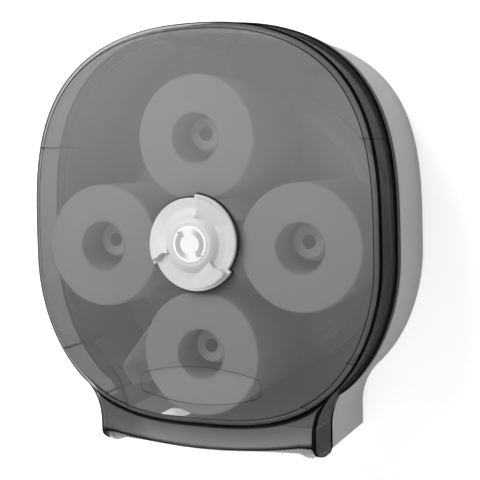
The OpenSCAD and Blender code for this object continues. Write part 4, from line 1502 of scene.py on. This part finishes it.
@dataclass
class Knob:
    """White knob with three lobes, each with a ramp that ends in a steep hooked wall, and a button with two arrows."""

    lobes: int = 3
    first_step: float = 86.0
    radius: float = 42.5
    lobe_step: float = 3.2
    plate_back: float = 147.5
    plate_front: float = 149.9
    shoulder: float = 1.6
    ramp_rise: float = 5.0
    ramp_span: float = 55.0
    ramp_in: float = 22.3
    ramp_lead: float = 5.5
    ramp_bend: float = 4.0
    dome: tuple[tuple[float, float], ...] = ((30.3, 149.9), (25.3, 150.9), (21.3, 154.1), (18.8, 155.5), (16.1, 155.7))
    button_r: float = 16.0
    button_back: float = 152.95
    button_front: float = 156.1
    dish: float = 0.10
    backing_back: float = 144.5
    backing_front: float = 147.45
    bore_r: float = 15.1
    columns_per_lobe: int = 120

    def rim_radius(self, part: Array) -> Array:
        """Radius of a lobe's rim: r - step (1 - part)^1.3, where part runs from 0 to 1 over the lobe."""
        return self.radius - self.lobe_step * (1 - part) ** 1.3

    def build(self) -> None:
        """Builds the lobed plate, backing and button."""
        self._plate()
        self._backing()
        self._button()
        self._arrows()

    def _plate(self) -> None:
        """Builds the plate as one height field, and its neck.

        Columns run from the dome's inner edge to the rim. Near the end of each lobe's ramp they bend to follow
        its end wall, by -ramp_bend sin(180 v) degrees. The height over the plate is the larger of the dome's
        profile and the ramp's rise u^1.15, where u runs from 0 to 1 over the ramp's span, and it falls to
        nothing within 2.2 degrees behind the wall.
        """
        lobe = 360.0 / self.lobes
        end = lobe - self.ramp_lead
        start = end - self.ramp_span
        local = np.concatenate([
            np.linspace(0.3, start, 40, endpoint=False),
            np.linspace(start, end - 1.2, 60, endpoint=False),
            end + np.array([-1.2, -0.7, -0.35, -0.1, 0.15, 0.6, 1.2, 1.7, 2.0, 2.2]),
            np.linspace(end + 2.8, lobe - 0.3, 5),
        ])[None, :]
        dome_r, dome_reach = np.array(self.dome).T
        bore = dome_r[-1]
        rim = self.rim_radius(np.clip(local / lobe, 0.0, 1.0)) - self.shoulder
        inner_r = np.linspace(bore, self.ramp_in, 9, endpoint=False)[:, None] + 0 * local
        outer_r = self.ramp_in + (rim - self.ramp_in) * np.linspace(0.0, 1.0, 30)[:, None]
        radius = np.concatenate([inner_r, outer_r])
        v = np.clip((radius - self.ramp_in) / (rim - self.ramp_in), 0.0, 1.0)
        near = smooth((local - start) / self.ramp_span) * smooth((lobe - local) / (self.ramp_lead - 2.0))
        bend = -self.ramp_bend * np.sin(np.pi * np.minimum(1.0, v * 1.6)) * near
        u = np.clip((local - start) / self.ramp_span, 0.0, 1.0)
        fall = 1 - smooth((local - end) / 2.2)
        inside = smooth((radius - self.ramp_in + 0.6) / 1.2) * (1 - smooth((radius - (rim - 2.2)) / 1.4) * 0.75)
        rise = self.ramp_rise * u**1.15 * fall * inside
        reach = np.maximum(self.plate_front + rise, np.interp(radius, dome_r[::-1], dome_reach[::-1]))
        # Rim: a soft shoulder, the edge down to the plate's back, and the back in to the dome's inner edge
        edge = rim + self.shoulder / 2
        border = [
            (edge - 1.0, self.plate_front - 0.15), (edge - 0.5, self.plate_front - 0.5),
            (edge, self.plate_front - 0.9), (edge, self.plate_back), (edge * 0 + bore, self.plate_back),
        ]
        radius = np.concatenate([radius, *(r for r, _ in border)])
        reach = np.concatenate([reach, *(r * 0 + level for r, level in border)])
        bend = np.concatenate([bend, np.zeros((len(border), local.size))])
        degrees = [self.first_step + lobe * i + local + bend for i in range(self.lobes)]
        angle = np.radians(np.concatenate(degrees, axis=1))
        radius, reach = np.tile(radius, self.lobes), np.tile(reach, self.lobes)
        whole = points(radius * np.cos(angle), radius * np.sin(angle), reach)
        skin = Skin("knob_plate").grid(whole, close_rows=True, close_columns=True)
        settle(skin.object([FINISHES[Look.KNOB]], 40.0), "knob", "knob_white", "knob")
        wall = rounded([(9.1, 141.35), (15.0, 141.35), (15.0, 148.5), (9.1, 148.5)], 0.3, 2, closed=True)
        settle(turned("knob_neck", wall, turns=96).object([FINISHES[Look.KNOB]]), "knob", "knob_white")

    def _backing(self) -> None:
        """Builds the dark backing, whose rim follows the lobes 0.4 outside them."""
        lobe = 360.0 / self.lobes
        part = 0.004 + 0.992 * np.linspace(0.0, 1.0, self.columns_per_lobe)
        angle = np.radians(self.first_step + np.concatenate([lobe * (i + part) for i in range(self.lobes)]))
        rim = np.tile(self.rim_radius(part), self.lobes) + 0.4
        back, front = self.backing_back, self.backing_front
        rows = [
            (self.bore_r, back), (rim - 0.5, back), (rim, back + 0.5),
            (rim, front - 0.55), (rim - 0.5, front), (self.bore_r, front),
        ]
        grid = np.stack([points(r * np.cos(angle), r * np.sin(angle), level) for r, level in rows])
        skin = Skin("knob_back_plate").grid(grid, close_rows=True, close_columns=True)
        settle(skin.object([FINISHES[Look.BLACK]], 40.0), "knob", "black", "knob_backing")

    def _face_reach(self, r: Array) -> Array:
        """Reach of the button's dished face at a radius."""
        return self.button_front - self.dish * (1 - (r / (self.button_r - 1.0)) ** 2)

    def _button(self) -> None:
        """Builds the round button, slightly dished, with an eased edge."""
        r = self.button_r
        face = np.linspace(0.0, r - 1.0, 14)
        edge = [(r - 0.35, self.button_front - 0.12), (r - 0.06, self.button_front - 0.5), (r, self.button_front - 1.0)]
        front = np.stack([face, self._face_reach(face)], -1)
        profile = np.concatenate([front, edge, [(r, self.button_back), (0.0, self.button_back)]])
        skin = Skin("knob_cap").grid(lathe(profile, turns=96), close_columns=True)
        settle(skin.object([FINISHES[Look.BUTTON]], 40.0), "knob", "button_white", "knob_button")

    def _arrows(self) -> None:
        """Builds two curved arrows as thin raised ribbons; each tail fades out along its length."""
        skin = Skin("knob_arrows")
        # Tail: from a slanted end near its head round to where it has faded out
        share = np.linspace(0.0, 1.0, 8)[:, None]
        tail_a = np.linspace(141.5, 275.0, 60)[None, :]
        slant = np.linspace(-6.5, 0.0, 60)[None, :]
        tail_angle = np.radians(tail_a + slant * (1 - share))
        tail_r = 8.7 + (13.2 - 8.7) * share + 0 * tail_angle
        tail_tone = 1 - smooth((tail_a - 225.0) / 48.0) + 0 * share
        # Head: from its base, which bulges round the tail's end, to its tip
        tip_r, tip_a = 12.3, 119.5
        base_r = np.linspace(6.9, 15.2, 8)[:, None]
        base_a = np.interp(base_r, [6.9, 8.7, 13.2, 15.2], [131.0, 135.0, 141.5, 139.0])
        run = np.linspace(0.0, 1.0, 10)[None, :]
        head_r = base_r * (1 - run) + tip_r * run
        head_angle = np.radians(base_a * (1 - run) + tip_a * run)
        for turn in (0.0, math.pi):
            self._ribbon(skin, tail_r, tail_angle + turn, tail_tone)
            self._ribbon(skin, head_r, head_angle + turn, np.ones_like(head_r))
        settle(skin.object([FINISHES[Look.ARROW]], 40.0, 1e-7), "knob", "button_white")

    def _ribbon(self, skin: Skin, r: Array, angle: Array, tone: Array) -> None:
        """Adds a closed ribbon, 0.03 proud of the button and let 0.08 into it.

        Args:
            skin: Skin that takes it.
            r: Radii of its points, rows by columns.
            angle: Angles of its points in radians.
            tone: Pattern value of its points.
        """
        level = self._face_reach(r)
        x, z = r * np.cos(angle), r * np.sin(angle)
        top, low = points(x, z, level + 0.03), points(x, z, level - 0.08)
        skin.grid(top, tone=tone).grid(low, tone=tone)
        for pick in (np.s_[0], np.s_[-1], np.s_[:, 0], np.s_[:, -1]):
            skin.grid(np.stack([top[pick], low[pick]]), tone=np.stack([tone[pick], tone[pick]]))


# ---------------------------------------------------------------------------
# Studio
# ---------------------------------------------------------------------------


@dataclass
class Studio:
    """White wall and floor, soft lights and the camera."""

    eye: tuple[float, float, float] = (0.38467, -0.94824, 0.07271)
    right: tuple[float, float, float] = (0.92004136, 0.39112706, -0.02331326)
    up: tuple[float, float, float] = (-0.00972462, 0.08227549, 0.99656218)
    forward: tuple[float, float, float] = (-0.39170055, 0.91665171, -0.07950042)
    lens: float = 79.04
    sensor: float = 36.0
    floor_z: float = -0.60
    wall_y: float = 0.0015
    bend_r: float = 0.25
    world_level: float = 0.18

    def build(self) -> None:
        """Builds the stage, lights, world and camera."""
        self._stage()
        self._lights()
        self._world()
        self._camera()
        bpy.context.scene.view_settings.view_transform = "Standard"

    def _stage(self) -> None:
        """Builds the backdrop: an upright wall that curves into a level floor.

        Its section runs down the wall, along a quarter circle of radius bend_r and out over the floor. It is clear when
        seen from behind. To the camera it glows a little, so that it is white, but for the part behind the case,
        which is painted grey as painted shade. There it also lets light from behind through to the back of the case.
        """
        r = self.bend_r
        q = np.linspace(0.0, math.pi / 2, 24)
        y = np.concatenate([[self.wall_y], self.wall_y - r + r * np.cos(q), [-3.2]])
        z = np.concatenate([[1.8], self.floor_z + r - r * np.sin(q), [self.floor_z]])
        x = np.linspace(-2.4, 2.4, 9)
        grid = np.stack(np.broadcast_arrays(x[None, :], y[:, None], z[:, None]), axis=-1)
        kit = Finish("backdrop_white")
        path = kit.node("ShaderNodeLightPath")
        back = Number(kit, kit.node("ShaderNodeNewGeometry").outputs["Backfacing"])
        seen = Number(kit, path.outputs["Is Camera Ray"])
        side, _, height = kit.axes()
        rise = height - OUTLINE.widest
        across = (side.size() / 156.0) ** OUTLINE.top_flat
        above = (rise.most(0.0) / 195.0) ** OUTLINE.upper_side_flat
        below = (rise.least(0.0).size() / 138.0) ** OUTLINE.lower_side_flat
        # Painted shade: to the camera the wall behind the case is dark grey and does not glow
        behind = across + above + below < 1.0
        diffuse = kit.node("ShaderNodeBsdfDiffuse", {}, {0: (0.80, 0.80, 0.80)})
        shade = kit.node("ShaderNodeBsdfDiffuse", {}, {0: kit.mix(behind, (0.85, 0.85, 0.85), (0.20, 0.20, 0.20))})
        glow = kit.node("ShaderNodeEmission", {}, {0: (1.0, 1.0, 1.0), 1: (1 - behind) * 0.60})
        white = kit.node("ShaderNodeAddShader", {}, {0: shade.outputs[0], 1: glow.outputs[0]})
        plain = kit.node("ShaderNodeMixShader", {}, {0: seen, 1: diffuse.outputs[0], 2: white.outputs[0]})
        clear = kit.node("ShaderNodeBsdfTransparent", {}, {0: (1.0, 1.0, 1.0)})
        open_back = back.most(behind * (1 - seen))
        end = kit.node("ShaderNodeMixShader", {}, {0: open_back, 1: plain.outputs[0], 2: clear.outputs[0]})
        out = kit.node("ShaderNodeOutputMaterial")
        kit.tree.links.new(end.outputs[0], out.inputs[0])
        stage = Skin("backdrop").grid(grid).object([kit.material], 80.0)
        if stage.data.polygons[0].normal.y > 0:
            stage.data.flip_normals()
        stage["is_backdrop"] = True

    def _light(self, name: str, place: Sequence[float], aim: Sequence[float], size: float, power: float) -> None:
        """Adds a square area light.

        Args:
            name: Its name.
            place: Where it stands, in metres.
            aim: The point that it faces, in metres.
            size: Length of its side in metres.
            power: Its power in watts.
        """
        lamp = bpy.data.lights.new(name, "AREA")
        lamp.shape, lamp.size, lamp.energy = "SQUARE", size, power
        made = bpy.data.objects.new(name, lamp)
        made.location = place
        made.rotation_euler = (Vector(aim) - Vector(place)).to_track_quat("-Z", "Y").to_euler()
        bpy.context.scene.collection.objects.link(made)

    def _lights(self) -> None:
        """Adds a soft key light in front, above and to the left, and a weak one on the right."""
        self._light("key", (-0.66, -1.38, 0.90), (0.0, -0.1, 0.0), 0.9, 31.5)
        self._light("fill", (1.8, -0.45, 0.5), (0.0, 0.0, 0.0), 1.0, 5.6)

    def _world(self) -> None:
        """Gives the world a plain level of light; the camera sees it as white."""
        world = bpy.data.worlds.new("studio")
        bpy.context.scene.world = world
        world.use_nodes = True
        tree = world.node_tree
        tree.nodes.clear()
        path = tree.nodes.new("ShaderNodeLightPath")
        mix, out = tree.nodes.new("ShaderNodeMixShader"), tree.nodes.new("ShaderNodeOutputWorld")
        tree.links.new(path.outputs["Is Camera Ray"], mix.inputs[0])
        for socket, strength in ((1, self.world_level), (2, 1.0)):
            ground = tree.nodes.new("ShaderNodeBackground")
            ground.inputs["Color"].default_value = (1.0, 1.0, 1.0, 1.0)
            ground.inputs["Strength"].default_value = strength
            tree.links.new(ground.outputs[0], mix.inputs[socket])
        tree.links.new(mix.outputs[0], out.inputs[0])

    def _camera(self) -> None:
        """Places the camera by its three axes."""
        lens = bpy.data.cameras.new("camera")
        lens.lens, lens.sensor_width = self.lens, self.sensor
        camera = bpy.data.objects.new("camera", lens)
        back = [-v for v in self.forward]
        rows = [list(row) for row in zip(self.right, self.up, back, self.eye)]
        camera.matrix_world = Matrix([*rows, [0.0, 0.0, 0.0, 1.0]])
        bpy.context.scene.collection.objects.link(camera)
        bpy.context.scene.camera = camera


# ---------------------------------------------------------------------------
# Whole
# ---------------------------------------------------------------------------

KEPT = {
    "rear_housing": Look.HOUSING,
    "axle": Look.STEEL,
    "thrust_washer": Look.NYLON,
    "brake_washer": Look.STEEL,
    "axle_nut": Look.STEEL,
    "hinge_pin_left": Look.STEEL,
    "hinge_pin_right": Look.STEEL,
    "carousel_wheel": Look.CAROUSEL,
    "drive_tube": Look.CAROUSEL,
    "tube_screws": Look.STEEL,
    "post_screws": Look.STEEL,
    "lock_box": Look.LOCK_BOX,
    "lock_barrel": Look.CHROME,
    "lock_cam": Look.STEEL,
    "cam_screw": Look.STEEL,
    "knob_screw": Look.STEEL,
    "knob_washer": Look.NYLON,
    "drive_coupler": Look.CAROUSEL,
}


def corners() -> list[list[float]]:
    """Gives the lowest and highest corner of the whole object as plain lists, in metres."""
    return [[float(v) for v in corner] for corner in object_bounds()]


def main() -> None:
    """Builds the whole model in order."""
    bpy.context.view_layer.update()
    Studio().build()
    for node, look in KEPT.items():
        dress(node, look)
    FrontCover().build()
    Rolls().build()
    PaperTail().build()
    Knob().build()


if __name__ == "__main__":
    main()
